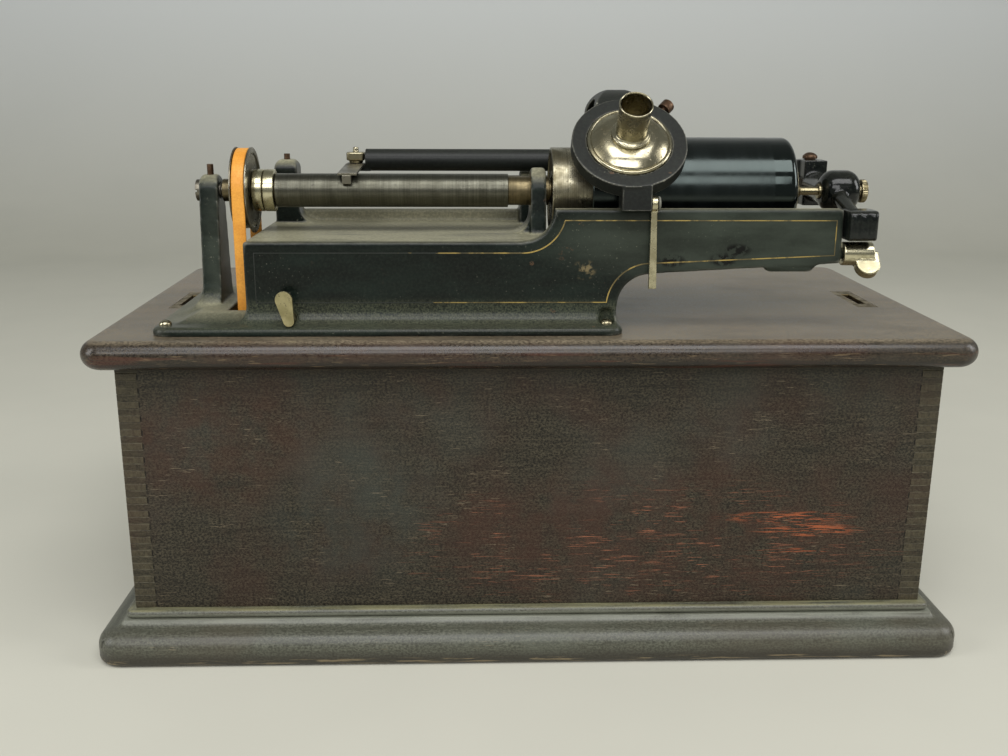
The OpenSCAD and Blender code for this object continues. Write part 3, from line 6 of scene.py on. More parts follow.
import bmesh
import bpy
from mathutils import Matrix, Vector


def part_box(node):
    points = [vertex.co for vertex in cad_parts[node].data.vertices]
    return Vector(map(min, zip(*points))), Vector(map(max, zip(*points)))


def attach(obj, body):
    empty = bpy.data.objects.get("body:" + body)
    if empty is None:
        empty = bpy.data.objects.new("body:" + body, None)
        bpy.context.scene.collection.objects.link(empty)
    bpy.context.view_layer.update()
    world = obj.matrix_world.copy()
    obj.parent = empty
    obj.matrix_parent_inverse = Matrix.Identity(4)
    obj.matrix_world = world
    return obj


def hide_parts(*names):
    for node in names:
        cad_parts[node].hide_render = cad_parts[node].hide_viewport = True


bl_info = {
    "name": "Cylinder phonograph",
    "version": (1, 0, 0),
    "blender": (4, 5, 0),
    "location": "3D View > Sidebar > Phonograph",
    "description": "Dresses the packed model of a cylinder phonograph",
    "category": "Object",
}

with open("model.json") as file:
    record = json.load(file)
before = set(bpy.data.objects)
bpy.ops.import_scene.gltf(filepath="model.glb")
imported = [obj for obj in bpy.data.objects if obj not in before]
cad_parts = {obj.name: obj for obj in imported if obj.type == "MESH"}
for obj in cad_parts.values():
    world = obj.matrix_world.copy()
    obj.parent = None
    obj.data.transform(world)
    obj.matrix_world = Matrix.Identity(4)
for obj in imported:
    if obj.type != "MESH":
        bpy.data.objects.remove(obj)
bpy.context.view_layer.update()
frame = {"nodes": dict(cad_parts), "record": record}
NODES = frame["nodes"]
BODY_OF = {n: b for b, names in frame["record"]["behaviour"]["bodies"].items() for n in names}
SLOT_OF = {p["node"]: p["material_slot"] for p in frame["record"]["subparts"]}
MM = 0.001
IMAGE_WIDTH = 1008
FINGERS = 36
HARD_ANGLE = 40
SOFT_ANGLE = 60

# Places and sizes that several pieces share, in millimetres
TIP = 0.001
SHAFT_BORE = 6.0
BLANK_END = 13
FLANGE_REACH = 10.5
RAIL_BACK = 49
SHAFT_Y = (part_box("record_cylinder")[0].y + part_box("record_cylinder")[1].y) / 2 / MM
SHAFT_Z = (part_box("record_cylinder")[0].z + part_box("record_cylinder")[1].z) / 2 / MM
BOARD_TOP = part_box("top_board")[1].z / MM
BED_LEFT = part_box("bed_casting")[0].x / MM
FRONT_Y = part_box("bed_casting")[0].y / MM + FLANGE_REACH
WALL_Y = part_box("wall_front")[0].y / MM
RAIL_Y = SHAFT_Y + RAIL_BACK


# Helpers for meshes


def span(node, axis):
    """Lowest and highest place of a node along an axis, in millimetres."""
    low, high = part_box(node)
    return low[axis] / MM, high[axis] / MM


def half(node, axis):
    """Half a node's size along an axis, in millimetres."""
    low, high = span(node, axis)
    return (high - low) / 2


def along_x(y, z):
    """Frame whose own Z runs along the shaft."""
    return Matrix.Translation((0, y, z)) @ Matrix.Rotation(math.pi / 2, 4, "Y")


def new_object(name, data):
    """An object at the origin, linked to the scene."""
    made = bpy.data.objects.new(name, data)
    bpy.context.scene.collection.objects.link(made)
    return made


def settle(obj, body, slot, finish, *nodes):
    """Gives a piece its finish, its body and the nodes that it stands for."""
    obj.data.materials.clear()
    obj.data.materials.append(finish)
    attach(obj, body)
    if nodes:
        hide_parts(*nodes)


def stand_in(obj, finish, node):
    """Settles a piece that stands for one node."""
    settle(obj, BODY_OF[node], SLOT_OF[node], finish, node)


def shade(mesh, angle=32):
    """Smooth shading that breaks at sharp edges."""
    mesh.polygons.foreach_set("use_smooth", [True] * len(mesh.polygons))
    mesh.set_sharp_from_angle(angle=math.radians(angle))


def mesh_of(bm, name):
    """Turns a bmesh into a named mesh."""
    mesh = bpy.data.meshes.new(name)
    bm.to_mesh(mesh)
    bm.free()
    return mesh


def make_plain(obj):
    """Turns what an object's modifiers make into its own mesh."""
    plain = bpy.data.meshes.new_from_object(obj.evaluated_get(bpy.context.evaluated_depsgraph_get()))
    obj.modifiers.clear()
    obj.data = plain


def join_points(bm, reach):
    """Joins points nearer than a reach in millimetres and turns the faces outwards."""
    bmesh.ops.remove_doubles(bm, verts=bm.verts, dist=reach * MM)
    bmesh.ops.recalc_face_normals(bm, faces=bm.faces)


def merged(node):
    """A node's mesh as one closed bmesh with whole faces."""
    bm = bmesh.new()
    bm.from_mesh(NODES[node].data)
    bmesh.ops.remove_doubles(bm, verts=bm.verts, dist=0.002 * MM)
    bmesh.ops.dissolve_degenerate(bm, edges=bm.edges, dist=0.001 * MM)
    bmesh.ops.dissolve_limit(bm, angle_limit=math.radians(0.4), verts=bm.verts, edges=bm.edges)
    return bm


def eased_copy(node, width, finish, segments=2):
    """A copy of a node with its hard edges rounded."""
    bm = merged(node)
    if width:
        hard = [e for e in bm.edges if e.is_manifold and e.calc_face_angle(0) > math.radians(HARD_ANGLE)]
        bmesh.ops.bevel(bm, geom=hard, offset=width * MM, segments=segments, profile=0.6,
                        affect="EDGES", clamp_overlap=False)
    mesh = mesh_of(bm, node + "_dressed")
    shade(mesh)
    made = new_object(mesh.name, mesh)
    made.modifiers.new("even_shading", "WEIGHTED_NORMAL").keep_sharp = True
    stand_in(made, finish, node)


def ease_all(*rows):
    """Rounded copies of several nodes, from rows of node, edge width in millimetres and finish."""
    for node, width, finish in rows:
        eased_copy(node, width, FINISH[finish])


def cast_copy(node, grain, finish, rounds, keep=1.0):
    """A copy of a node with the soft edges of a casting."""
    mesh = mesh_of(merged(node), node + "_cast")
    made = new_object(mesh.name, mesh)
    skin = made.modifiers.new("skin", "REMESH")
    skin.mode = "VOXEL"
    skin.voxel_size = grain * MM
    soften = made.modifiers.new("soften", "SMOOTH")
    soften.factor = 0.5
    soften.iterations = rounds
    if keep < 1:
        made.modifiers.new("thin", "DECIMATE").ratio = keep
    make_plain(made)
    shade(made.data, SOFT_ANGLE)
    made.modifiers.new("even_shading", "WEIGHTED_NORMAL").keep_sharp = True
    stand_in(made, finish, node)


def eased(points, radius, closed=True, steps=4):
    """Rounds the corners of an outline of (height, out) points."""
    out = []
    total = len(points)
    for i, here in enumerate(points):
        p = Vector(here)
        if not closed and i in (0, total - 1):
            out.append(p)
            continue
        before = Vector(points[i - 1]) - p
        after = Vector(points[(i + 1) % total]) - p
        reach = min(radius, before.length * 0.45, after.length * 0.45)
        a = p + before.normalized() * reach
        b = p + after.normalized() * reach
        for k in range(steps + 1):
            t = k / steps
            out.append(a * (1 - t) ** 2 + p * 2 * t * (1 - t) + b * t * t)
    return out


def lathe(bm, outline, place, steps=96, closed=True):
    """Turns an outline of (height, out) points round the Z axis of a frame, in millimetres."""
    scale = Matrix.Scale(MM, 4)
    rings = []
    for height, out in outline:
        ring = []
        for k in range(steps):
            a = 2 * math.pi * k / steps
            ring.append(bm.verts.new(scale @ place @ Vector((out * math.cos(a), out * math.sin(a), height))))
        rings.append(ring)
    pairs = list(zip(rings, rings[1:]))
    if closed:
        pairs.append((rings[-1], rings[0]))
    for low, high in pairs:
        for k in range(steps):
            n = (k + 1) % steps
            bm.faces.new((low[k], low[n], high[n], high[k]))


def turned(name, outlines, place, finish, node, steps=96):
    """One turned piece made of closed outlines."""
    bm = bmesh.new()
    for outline in outlines:
        lathe(bm, outline, place, steps)
    join_points(bm, 0.002)
    mesh = mesh_of(bm, name)
    shade(mesh)
    stand_in(new_object(name, mesh), finish, node)


# Helpers for node trees


def linear(code):
    """An sRGB hex colour as linear RGBA."""
    parts = [int(code[i:i + 2], 16) / 255 for i in (1, 3, 5)]
    return (*[c / 12.92 if c <= 0.04045 else ((c + 0.055) / 1.055) ** 2.4 for c in parts], 1.0)


def add(tree, kind, inputs=None, **settings):
    """Adds one node with its settings, and links or sets its inputs."""
    made = tree.nodes.new(kind)
    for key, value in settings.items():
        setattr(made, key, value)
    for key, value in (inputs or {}).items():
        if isinstance(value, bpy.types.NodeSocket):
            tree.links.new(value, made.inputs[key])
        else:
            made.inputs[key].default_value = value
    return made


def mottle(tree, place, size, low, high, detail=4.0, shift=0.0):
    """Patches of a size in millimetres, from 0 to 1 between two noise levels."""
    each = size if isinstance(size, tuple) else (size, size, size)
    moved = add(tree, "ShaderNodeMapping", {"Vector": place, "Location": (shift, shift * 1.7, shift * 0.6),
                                            "Scale": tuple(1 / (s * MM) for s in each)})
    noise = add(tree, "ShaderNodeTexNoise", {"Vector": moved.outputs[0], "Scale": 1.0, "Detail": detail,
                                             "Roughness": 0.6})
    return add(tree, "ShaderNodeMapRange", {"Value": noise.outputs[0], "From Min": low, "From Max": high},
               interpolation_type="SMOOTHSTEP").outputs[0]


def times(tree, a, b):
    """The product of two masks."""
    return add(tree, "ShaderNodeMath", {0: a, 1: b}, operation="MULTIPLY").outputs[0]


def tint(tree, mask, under, over):
    """One colour over another where a mask is high."""
    return add(tree, "ShaderNodeMix", {0: mask, 6: under, 7: over}, data_type="RGBA").outputs[2]


def level(tree, mask, low, high):
    """A mask stretched between two plain values."""
    return add(tree, "ShaderNodeMapRange", {"Value": mask, "To Min": low, "To Max": high}).outputs[0]


def stain(tree, mask, most, under, code):
    """A hex colour over another where a mask is high, up to a share of it."""
    return tint(tree, level(tree, mask, 0.0, most), under, linear(code))


def rubbed(tree, place, reach, size, low, high):
    """Mask of the edges, broken up where they are less rubbed."""
    soft = add(tree, "ShaderNodeBevel", {"Radius": reach * MM}, samples=6)
    true = add(tree, "ShaderNodeNewGeometry")
    near = add(tree, "ShaderNodeVectorMath", {0: soft.outputs[0], 1: true.outputs["Normal"]},
               operation="DOT_PRODUCT")
    edge = add(tree, "ShaderNodeMapRange",
               {"Value": near.outputs["Value"], "From Min": 0.985, "From Max": 0.9},
               interpolation_type="SMOOTHSTEP")
    return times(tree, edge.outputs[0], mottle(tree, place, size, low, high))


def crests(tree, place, size, low, high):
    """Mask of the outer bends of a finely meshed casting, broken up where they are less rubbed; it carries
    wear and a painted edge highlight.
    """
    bend = add(tree, "ShaderNodeNewGeometry").outputs["Pointiness"]
    edge = add(tree, "ShaderNodeMapRange", {"Value": bend, "From Min": 0.515, "From Max": 0.56},
               interpolation_type="SMOOTHSTEP").outputs[0]
    return times(tree, edge, mottle(tree, place, size, low, high))


def upward(tree, low, high):
    """Mask of the faces that look up, where dust settles."""
    faces = add(tree, "ShaderNodeTexCoord").outputs["Normal"]
    tall = add(tree, "ShaderNodeSeparateXYZ", {0: faces}).outputs["Z"]
    return add(tree, "ShaderNodeMapRange", {"Value": tall, "From Min": low, "From Max": high},
               interpolation_type="SMOOTHSTEP").outputs[0]


def within(tree, value, centre, reach, soft):
    """Mask of where a value in metres is near a centre in millimetres, on both sides of the middle."""
    size = add(tree, "ShaderNodeMath", {0: value}, operation="ABSOLUTE")
    away = add(tree, "ShaderNodeMath", {0: size.outputs[0], 1: centre * MM}, operation="SUBTRACT")
    far = add(tree, "ShaderNodeMath", {0: away.outputs[0]}, operation="ABSOLUTE")
    return add(tree, "ShaderNodeMapRange",
               {"Value": far.outputs[0], "From Min": (reach + soft) * MM, "From Max": reach * MM},
               interpolation_type="SMOOTHSTEP").outputs[0]


def oval(tree, place, centre, reach):
    """Soft mask round a place, with its reach along each axis in millimetres."""
    spot = add(tree, "ShaderNodeVectorMath", {0: place, 1: tuple(v * MM for v in centre)},
               operation="SUBTRACT")
    squashed = add(tree, "ShaderNodeVectorMath", {0: spot.outputs[0], 1: tuple(1 / (v * MM) for v in reach)},
                   operation="MULTIPLY")
    away = add(tree, "ShaderNodeVectorMath", {0: squashed.outputs[0]}, operation="LENGTH")
    return add(tree, "ShaderNodeMapRange",
               {"Value": away.outputs["Value"], "From Min": 1.0, "From Max": 0.45},
               interpolation_type="SMOOTHSTEP").outputs[0]


def looking(tree, axis):
    """Mask of the faces that look along an axis, either way."""
    faces = add(tree, "ShaderNodeTexCoord").outputs["Normal"]
    part = add(tree, "ShaderNodeSeparateXYZ", {0: faces}).outputs[axis]
    size = add(tree, "ShaderNodeMath", {0: part}, operation="ABSOLUTE")
    return add(tree, "ShaderNodeMapRange",
               {"Value": size.outputs[0], "From Min": 0.75, "From Max": 0.92}).outputs[0]


def begin(name):
    """A new finish: its material, tree and object coordinates."""
    finish = bpy.data.materials.new(name)
    finish.use_nodes = True
    finish.node_tree.nodes.clear()
    return finish, finish.node_tree, add(finish.node_tree, "ShaderNodeTexCoord").outputs["Object"]


def complete(tree, bumps, inputs):
    """Ends a finish with its surface and bumps given as (height, depth in millimetres, strength)."""
    surface = dict(inputs)
    normal = None
    for height, depth, strength in bumps:
        settings = {"Height": height, "Distance": depth * MM, "Strength": strength}
        if normal:
            settings["Normal"] = normal
        normal = add(tree, "ShaderNodeBump", settings).outputs[0]
    if normal:
        surface["Normal"] = normal
    shader = add(tree, "ShaderNodeBsdfPrincipled", surface)
    add(tree, "ShaderNodeOutputMaterial", {"Surface": shader.outputs[0]})


# Finishes


def along(grain, length, width):
    """Pattern size that is long with the grain and narrow across it."""
    return tuple(length if i == grain else width for i in range(3))


def oak_ground(tree, place, grain, dark, light, red, haze):
    """Colour, pores and flecks that all the oak shares."""
    pores = mottle(tree, place, along(grain, 1.3, 0.95), 0.36, 0.64, 5.0)
    vein = mottle(tree, place, along(grain, 34, 1.8), 0.42, 0.66, 4.0, 3.1)
    warm = mottle(tree, place, 64, 0.45, 0.68, 4.0, 5.7)
    cloud = mottle(tree, place, 80, 0.48, 0.7, 4.0, 9.4)
    colour = tint(tree, pores, linear(dark), linear(light))
    colour = stain(tree, vein, 0.45, colour, dark)
    colour = stain(tree, warm, 0.4, colour, red)
    colour = stain(tree, cloud, 0.3, colour, haze)
    fleck = times(tree, mottle(tree, place, along(grain, 8, 0.6), 0.645, 0.69, 2.0, 1.3),
                  mottle(tree, place, 40, 0.47, 0.62, 3.0, 12.2))
    rough = add(tree, "ShaderNodeMath", {0: level(tree, pores, 0.4, 0.5), 1: level(tree, cloud, 0.0, 0.1)},
                operation="ADD")
    return colour, pores, fleck, rough.outputs[0]


def shellacked_case_oak(name, grain, tones):
    """Sawn oak under old brown shellac: red and grey clouds, pale flecks, orange rubs, grey finger ends,
    painted shade in the finger gaps.
    """
    finish, tree, place = begin(name)
    colour, pores, fleck, rough = oak_ground(tree, place, grain, tones.varnish_dark, tones.varnish_light,
                                             "#3d2219", "#45473f")
    x, y, z = add(tree, "ShaderNodeSeparateXYZ", {0: place}).outputs
    side = span("wall_right", 0)
    foot, top = span("wall_front", 2)
    start = add(tree, "ShaderNodeMath", {0: z, 1: foot * MM}, operation="SUBTRACT")
    turn = add(tree, "ShaderNodeMath", {0: start.outputs[0], 1: math.pi * FINGERS / ((top - foot) * MM)},
               operation="MULTIPLY")
    wave = add(tree, "ShaderNodeMath", {0: turn.outputs[0]}, operation="SINE").outputs[0]
    thick = side[1] - side[0]
    across, middle = (x, (side[0] + side[1]) / 2) if grain == 0 else (y, thick / 2 - WALL_Y - thick)
    corner = within(tree, across, middle, thick / 2 - 0.2, 0.4)
    patchy = mottle(tree, place, 15, 0.3, 0.66, 5.0, 7.9)
    for centre, reach, tone, most in (((-160, WALL_Y, 118), (70, 30, 46), "#43271b", 0.42),
                                      ((70, WALL_Y, 66), (165, 30, 52), "#43271c", 0.42),
                                      ((-95, WALL_Y, 80), (56, 30, 52), "#383d37", 0.45)):
        cloud = times(tree, oval(tree, place, centre, reach), patchy)
        colour = stain(tree, cloud, most, colour, tone)
    colour = stain(tree, fleck, 0.6, colour, "#857761")
    if grain == 0:
        dash = mottle(tree, place, along(grain, 13, 0.6), 0.6, 0.65, 3.0, 4.1)
        broad = mottle(tree, place, along(grain, 11, 0.6), 0.52, 0.58, 3.0, 2.3)
        spread = times(tree, oval(tree, place, (62, WALL_Y, 60), (165, 30, 44)),
                       mottle(tree, place, 34, 0.42, 0.6, 3.0, 8.1))
        colour = stain(tree, times(tree, dash, spread), 0.75, colour, "#9c6248")
        for centre, reach in (((136, WALL_Y, 75.5), (42, 30, 4.2)), ((148, WALL_Y, 68), (34, 30, 5.0)),
                              ((143, WALL_Y, 56), (24, 30, 1.8))):
            bare = times(tree, oval(tree, place, centre, reach), broad)
            colour = stain(tree, bare, 0.8, colour, "#a95a36")
        worn = times(tree, corner, mottle(tree, place, 5, 0.25, 0.7, 4.0, 8.3))
        colour = stain(tree, worn, 0.5, colour, "#403b2b")
        # Near-black dashes at the inner finger ends are painted shade in the joint gaps.
        inner = times(tree, within(tree, x, side[0] - 0.2, 0.4, 0.15), level(tree, wave, 0.0, 1.6))
        gap_shade = times(tree, inner, mottle(tree, place, 22, 0.3, 0.46, 2.0, 6.6))
        colour = tint(tree, gap_shade, colour, linear("#0b0806"))
    else:
        ends = times(tree, looking(tree, "Y"), mottle(tree, place, (1.4, 1.4, 3), 0.2, 0.75, 5.0, 2.9))
        colour = stain(tree, ends, 0.7, colour, "#544d3a")
    size = add(tree, "ShaderNodeMath", {0: wave}, operation="ABSOLUTE").outputs[0]
    line = add(tree, "ShaderNodeMapRange", {"Value": size, "From Min": 0.42, "From Max": 0.2}).outputs[0]
    joint = times(tree, times(tree, line, corner), mottle(tree, place, (6, 6, 5), 0.4, 0.62, 4.0, 3.9))
    edge = add(tree, "ShaderNodeMath", {0: rubbed(tree, place, 0.9, 7, 0.4, 0.6), 1: joint},
               operation="MAXIMUM")
    colour = stain(tree, edge.outputs[0], 0.45, colour, "#6f6953")
    complete(tree, [(pores, 0.1, 0.3)], {"Base Color": colour, "Roughness": rough, "IOR": 1.5,
                                         "Specular IOR Level": 0.36})
    return finish


def shellacked_moulding_oak(name, grain):
    """Moulded oak under grey-green shellac: pale in the top seam, painted light in the cove under the bead,
    brown and ochre where shoes met it.
    """
    finish, tree, place = begin(name)
    colour, pores, fleck, rough = oak_ground(tree, place, grain, "#3a3a30", "#5f6053", "#4a4234", "#676b5e")
    tall = add(tree, "ShaderNodeSeparateXYZ", {0: place}).outputs["Z"]
    top = span("moulding_long", 2)[1]
    colour = stain(tree, fleck, 0.5, colour, "#8b8068")
    seam = times(tree, within(tree, tall, top, 0.3, 0.6),
                 mottle(tree, place, along(grain, 50, 4), 0.3, 0.62, 4.0, 4.4))
    colour = stain(tree, seam, 0.7, colour, "#85815f")
    # A pale band in the cove just under the top bead is painted light.
    lit_hollow = times(tree, within(tree, tall, top - 4.2, 1.6, 1.4),
                   mottle(tree, place, along(grain, 40, 5), 0.2, 0.6))
    colour = stain(tree, lit_hollow, 0.6, colour, "#86887a")
    foot = within(tree, tall, 1.2, 2.2, 2.0)
    grimy = within(tree, tall, 1.2, 2.4, 7.0)
    colour = stain(tree, grimy, 0.75, colour, "#221b13")
    kicked = times(tree, foot, mottle(tree, place, along(grain, 22, 1.2), 0.52, 0.63, 4.0, 7.7))
    colour = stain(tree, kicked, 0.75, colour, "#8a7a5c")
    complete(tree, [(pores, 0.07, 0.25)], {"Base Color": colour, "Roughness": rough, "IOR": 1.5,
                                           "Coat Weight": 0.2, "Coat Roughness": 0.28})
    return finish


def shellacked_board_oak(name):
    """Planed oak under shellac: dull and dusty on top, polished by hands on the nose, red where rubbed,
    painted shade on the nose's lower part.
    """
    finish, tree, place = begin(name)
    colour, pores, fleck, rough = oak_ground(tree, place, 0, "#1c150e", "#3f3527", "#412419", "#403c31")
    y, z = add(tree, "ShaderNodeSeparateXYZ", {0: place}).outputs[1:]
    low = span("top_board", 2)[0]
    front = span("top_board", 1)[0]
    colour = stain(tree, fleck, 0.4, colour, "#857761")
    flat = upward(tree, 0.72, 0.98)
    smear = mottle(tree, place, (60, 14, 14), 0.3, 0.66, 6.0, 6.1)
    dust = times(tree, flat, times(tree, level(tree, smear, 0.6, 1.0), level(tree, pores, 0.3, 1.0)))
    colour = stain(tree, dust, 0.72, colour, "#93866f")
    nose = times(tree, within(tree, y, -front, 4.0, 3.0), within(tree, z, low + 5.0, 3.2, 2.4))
    # The darker lower part of the nose is painted shade.
    under = within(tree, z, low, 3.5, 3.0)
    colour = stain(tree, under, 0.7, colour, "#15100b")
    rub = times(tree, nose, mottle(tree, place, (60, 5, 3.0), 0.52, 0.66, 5.0, 2.2))
    colour = stain(tree, rub, 0.42, colour, "#56291b")
    chip = times(tree, nose, mottle(tree, place, (12, 3, 0.9), 0.6, 0.66, 4.0, 3.3))
    colour = stain(tree, chip, 0.45, colour, "#7d6a50")
    sheen = add(tree, "ShaderNodeMath", {0: rough, 1: level(tree, dust, -0.14, 0.12)}, operation="ADD")
    complete(tree, [(pores, 0.08, 0.3)],
             {"Base Color": colour, "Roughness": sheen.outputs[0], "IOR": 1.5, "Specular IOR Level": 0.4,
              "Coat Weight": 0.25, "Coat Roughness": 0.16})
    return finish


def japanned_iron(name, film, bloom, dust_colour, dust_most, edge_and_highlight_most, rough_low, rough_high, marks=False):
    """Stoved black japan on cast iron: half-gloss, dusty on top, brown in chips, grey at rubbed edges partly
    as painted highlight, paler patches as painted sheen.
    """
    finish, tree, place = begin(name)
    cloud = mottle(tree, place, (50, 30, 16), 0.35, 0.7, 6.0)
    grit = mottle(tree, place, 1.5, 0.4, 0.68, 4.0, 7.1)
    speck = times(tree, mottle(tree, place, 1.4, 0.66, 0.73, 2.0, 4.4),
                  mottle(tree, place, 34, 0.42, 0.62, 2.0, 3.6))
    chips = times(tree, mottle(tree, place, 6, 0.66, 0.7, 5.0, 2.2),
                  mottle(tree, place, 60, 0.52, 0.62, 2.0, 8.8))
    colour = stain(tree, cloud, 0.7, linear(film), bloom)
    colour = stain(tree, grit, 0.22, colour, "#2c332b")
    dust = times(tree, upward(tree, 0.25, 0.95), mottle(tree, place, (40, 12, 12), 0.0, 0.56, 6.0, 6.1))
    if marks:
        deep, tall = add(tree, "ShaderNodeSeparateXYZ", {0: place}).outputs[1:]
        # Paler grey-green patches on the arm and the left post are a painted sheen.
        for centre, reach in (((95, FRONT_Y, BOARD_TOP + 47), (110, 12, 26)),
                              ((BED_LEFT + 31, SHAFT_Y, BOARD_TOP + 38), (17, 40, 48))):
            pale = times(tree, oval(tree, place, centre, reach), level(tree, cloud, 0.35, 0.75))
            colour = tint(tree, pale, colour, linear("#3f453c"))
        low = times(tree, within(tree, tall, BOARD_TOP + 9.5, 3.4, 6),
                    mottle(tree, place, 0.9, 0.3, 0.72, 4.0, 1.8))
        colour = stain(tree, low, 0.38, colour, "#6c6e57")
        spot = times(tree, oval(tree, place, (26, FRONT_Y, 208), (7, 6, 6)),
                     mottle(tree, place, 4, 0.46, 0.62, 4.0, 2.6))
        colour = stain(tree, spot, 0.8, colour, "#7d6f50")
        rail = oval(tree, place, (-78, RAIL_Y, BOARD_TOP + 50), (100, 6, 12))
        dust = add(tree, "ShaderNodeMath", {0: dust, 1: level(tree, rail, 0.0, 0.9)},
                   operation="MAXIMUM").outputs[0]
        behind = add(tree, "ShaderNodeMapRange", {"Value": deep, "From Min": (FRONT_Y + 0.5) * MM,
                                                  "From Max": (FRONT_Y + 6) * MM, "To Min": 0.15}).outputs[0]
        low_part = level(tree, within(tree, tall, BOARD_TOP, 7, 3), 1.0, 0.35)
        dust = times(tree, times(tree, dust, behind), low_part)
    dust = times(tree, dust, level(tree, grit, 0.7, 1.0))
    colour = stain(tree, dust, dust_most, colour, dust_colour)
    colour = stain(tree, speck, 0.45, colour, "#7f7f70")
    colour = stain(tree, chips, 0.8, colour, "#54402f")
    # The grey on rubbed edges and crests is wear and also a painted edge highlight.
    edge = add(tree, "ShaderNodeMath", {0: rubbed(tree, place, 1.2, 12, 0.42, 0.62),
                                        1: crests(tree, place, 14, 0.3, 0.6)}, operation="MAXIMUM").outputs[0]
    colour = stain(tree, edge, edge_and_highlight_most, colour, "#8a897d")
    if marks:
        for x, z in ((70.7, 212.4), (97, 212.9), (104, 218)):
            lost = times(tree, oval(tree, place, (x, FRONT_Y, z), (9, 6, 4)),
                         mottle(tree, place, 3, 0.44, 0.52, 3.0))
            colour = tint(tree, lost, colour, linear("#050605"))
    rough = add(tree, "ShaderNodeMath", {0: level(tree, cloud, rough_low, rough_high),
                                         1: level(tree, dust, 0.0, 0.3 * dust_most)}, operation="ADD")
    skin = mottle(tree, place, 2.4, 0.3, 0.7, 3.0, 9.3)
    complete(tree, [(skin, 0.06, 0.3), (chips, 0.08, 0.4)],
             {"Base Color": colour, "Roughness": rough.outputs[0], "IOR": 1.5,
              "Specular IOR Level": 0.22 if marks else 0.32,
              "Coat Weight": 0.08, "Coat Roughness": 0.15})
    return finish


def bare_metal(name, clean, stained, spot, stain_size, rough_low, rough_high, lathe_lines=0.0):
    """Worked metal left in a damp room: bright where handled, clouded and spotted, with faint tool lines."""
    finish, tree, place = begin(name)
    cloud = mottle(tree, place, stain_size, 0.38, 0.66, 6.0)
    dots = mottle(tree, place, min(stain_size / 6, 1.6), 0.62, 0.7, 3.0, 3.7)
    colour = tint(tree, cloud, linear(clean), linear(stained))
    colour = stain(tree, dots, 0.8, colour, spot)
    metal = level(tree, dots, 1.0, 0.45)
    rough = level(tree, cloud, rough_low, rough_high)
    bumps = [(dots, 0.04, 0.4)]
    if lathe_lines:
        # Tool lines are about 0.1 mm apart on the real metal and are drawn coarser here to show
        lines = mottle(tree, place, (lathe_lines, 400, 400), 0.3, 0.7, 2.0, 5.9)
        bumps.append((lines, 0.015, 0.2))
        colour = stain(tree, lines, 0.45, colour, spot)
    complete(tree, bumps, {"Base Color": colour, "Metallic": metal, "Roughness": rough})
    return finish


def belt_leather(name):
    """New oak-tanned belting: warm orange grain side, darker cut edges, faint creases across the run."""
    finish, tree, place = begin(name)
    pores = mottle(tree, place, 0.9, 0.35, 0.68, 4.0)
    cloud = mottle(tree, place, 18, 0.35, 0.7, 3.0, 2.8)
    colour = tint(tree, cloud, linear("#eba640"), linear("#d98f2d"))
    colour = stain(tree, pores, 0.35, colour, "#bd7422")
    edge = rubbed(tree, place, 0.9, 5, 0.2, 0.4)
    colour = stain(tree, edge, 0.7, colour, "#8a4a15")
    crease = mottle(tree, place, (30, 3.5, 1.6), 0.4, 0.7, 4.0, 6.6)
    complete(tree, [(pores, 0.08, 0.4), (crease, 0.1, 0.3)],
             {"Base Color": colour, "Roughness": level(tree, pores, 0.42, 0.6), "IOR": 1.48})
    return finish


def moulded_record(name, grooved_to):
    """Moulded black record compound: glossy, with close grooves that spread the light up to the blank end."""
    finish, tree, place = begin(name)
    where = add(tree, "ShaderNodeSeparateXYZ", {0: place}).outputs["X"]
    blank = add(tree, "ShaderNodeMapRange", {"Value": where, "From Min": (grooved_to - 0.2) * MM,
                                             "From Max": (grooved_to + 0.2) * MM}).outputs[0]
    played = level(tree, blank, 1.0, 0.0)
    # Real grooves are a quarter of a millimetre apart or closer and are drawn wider to show
    groove_pitch = 0.7
    turns = add(tree, "ShaderNodeMath", {0: where, 1: 2 * math.pi / (groove_pitch * MM)},
                operation="MULTIPLY")
    wave = add(tree, "ShaderNodeMath", {0: turns.outputs[0]}, operation="SINE")
    groove = times(tree, wave.outputs[0], played)
    band = mottle(tree, place, (5, 400, 400), 0.3, 0.7, 3.0, 1.1)
    dust = mottle(tree, place, 0.9, 0.72, 0.78, 2.0, 3.4)
    grey = tint(tree, times(tree, band, played), linear("#040606"), linear("#0a0d0d"))
    colour = stain(tree, dust, 0.3, grey, "#585b56")
    rough = add(tree, "ShaderNodeMath", {0: level(tree, blank, 0.17, 0.06), 1: level(tree, band, 0.0, 0.06)},
                operation="ADD")
    complete(tree, [(groove, 0.012, 0.3)],
             {"Base Color": colour, "Roughness": rough.outputs[0], "IOR": 1.6,
              "Specular Tint": linear("#d9ece7")})
    return finish


def gilt_line(name):
    """Gold bronze powder in varnish, thin and rubbed off in places, more to the left."""
    finish, tree, place = begin(name)
    where = add(tree, "ShaderNodeSeparateXYZ", {0: place}).outputs["X"]
    left = add(tree, "ShaderNodeMapRange",
               {"Value": where, "From Min": -30 * MM, "From Max": -75 * MM}).outputs[0]
    patch = mottle(tree, place, 9, 0.42, 0.6, 5.0)
    gone = add(tree, "ShaderNodeMath", {0: level(tree, patch, 0.0, 0.8), 1: left},
               operation="ADD", use_clamp=True)
    colour = tint(tree, gone.outputs[0], linear("#b39a58"), linear("#1a1f1a"))
    complete(tree, [], {"Base Color": colour, "Metallic": level(tree, gone.outputs[0], 0.55, 0.0),
                        "Roughness": level(tree, patch, 0.38, 0.55)})
    return finish


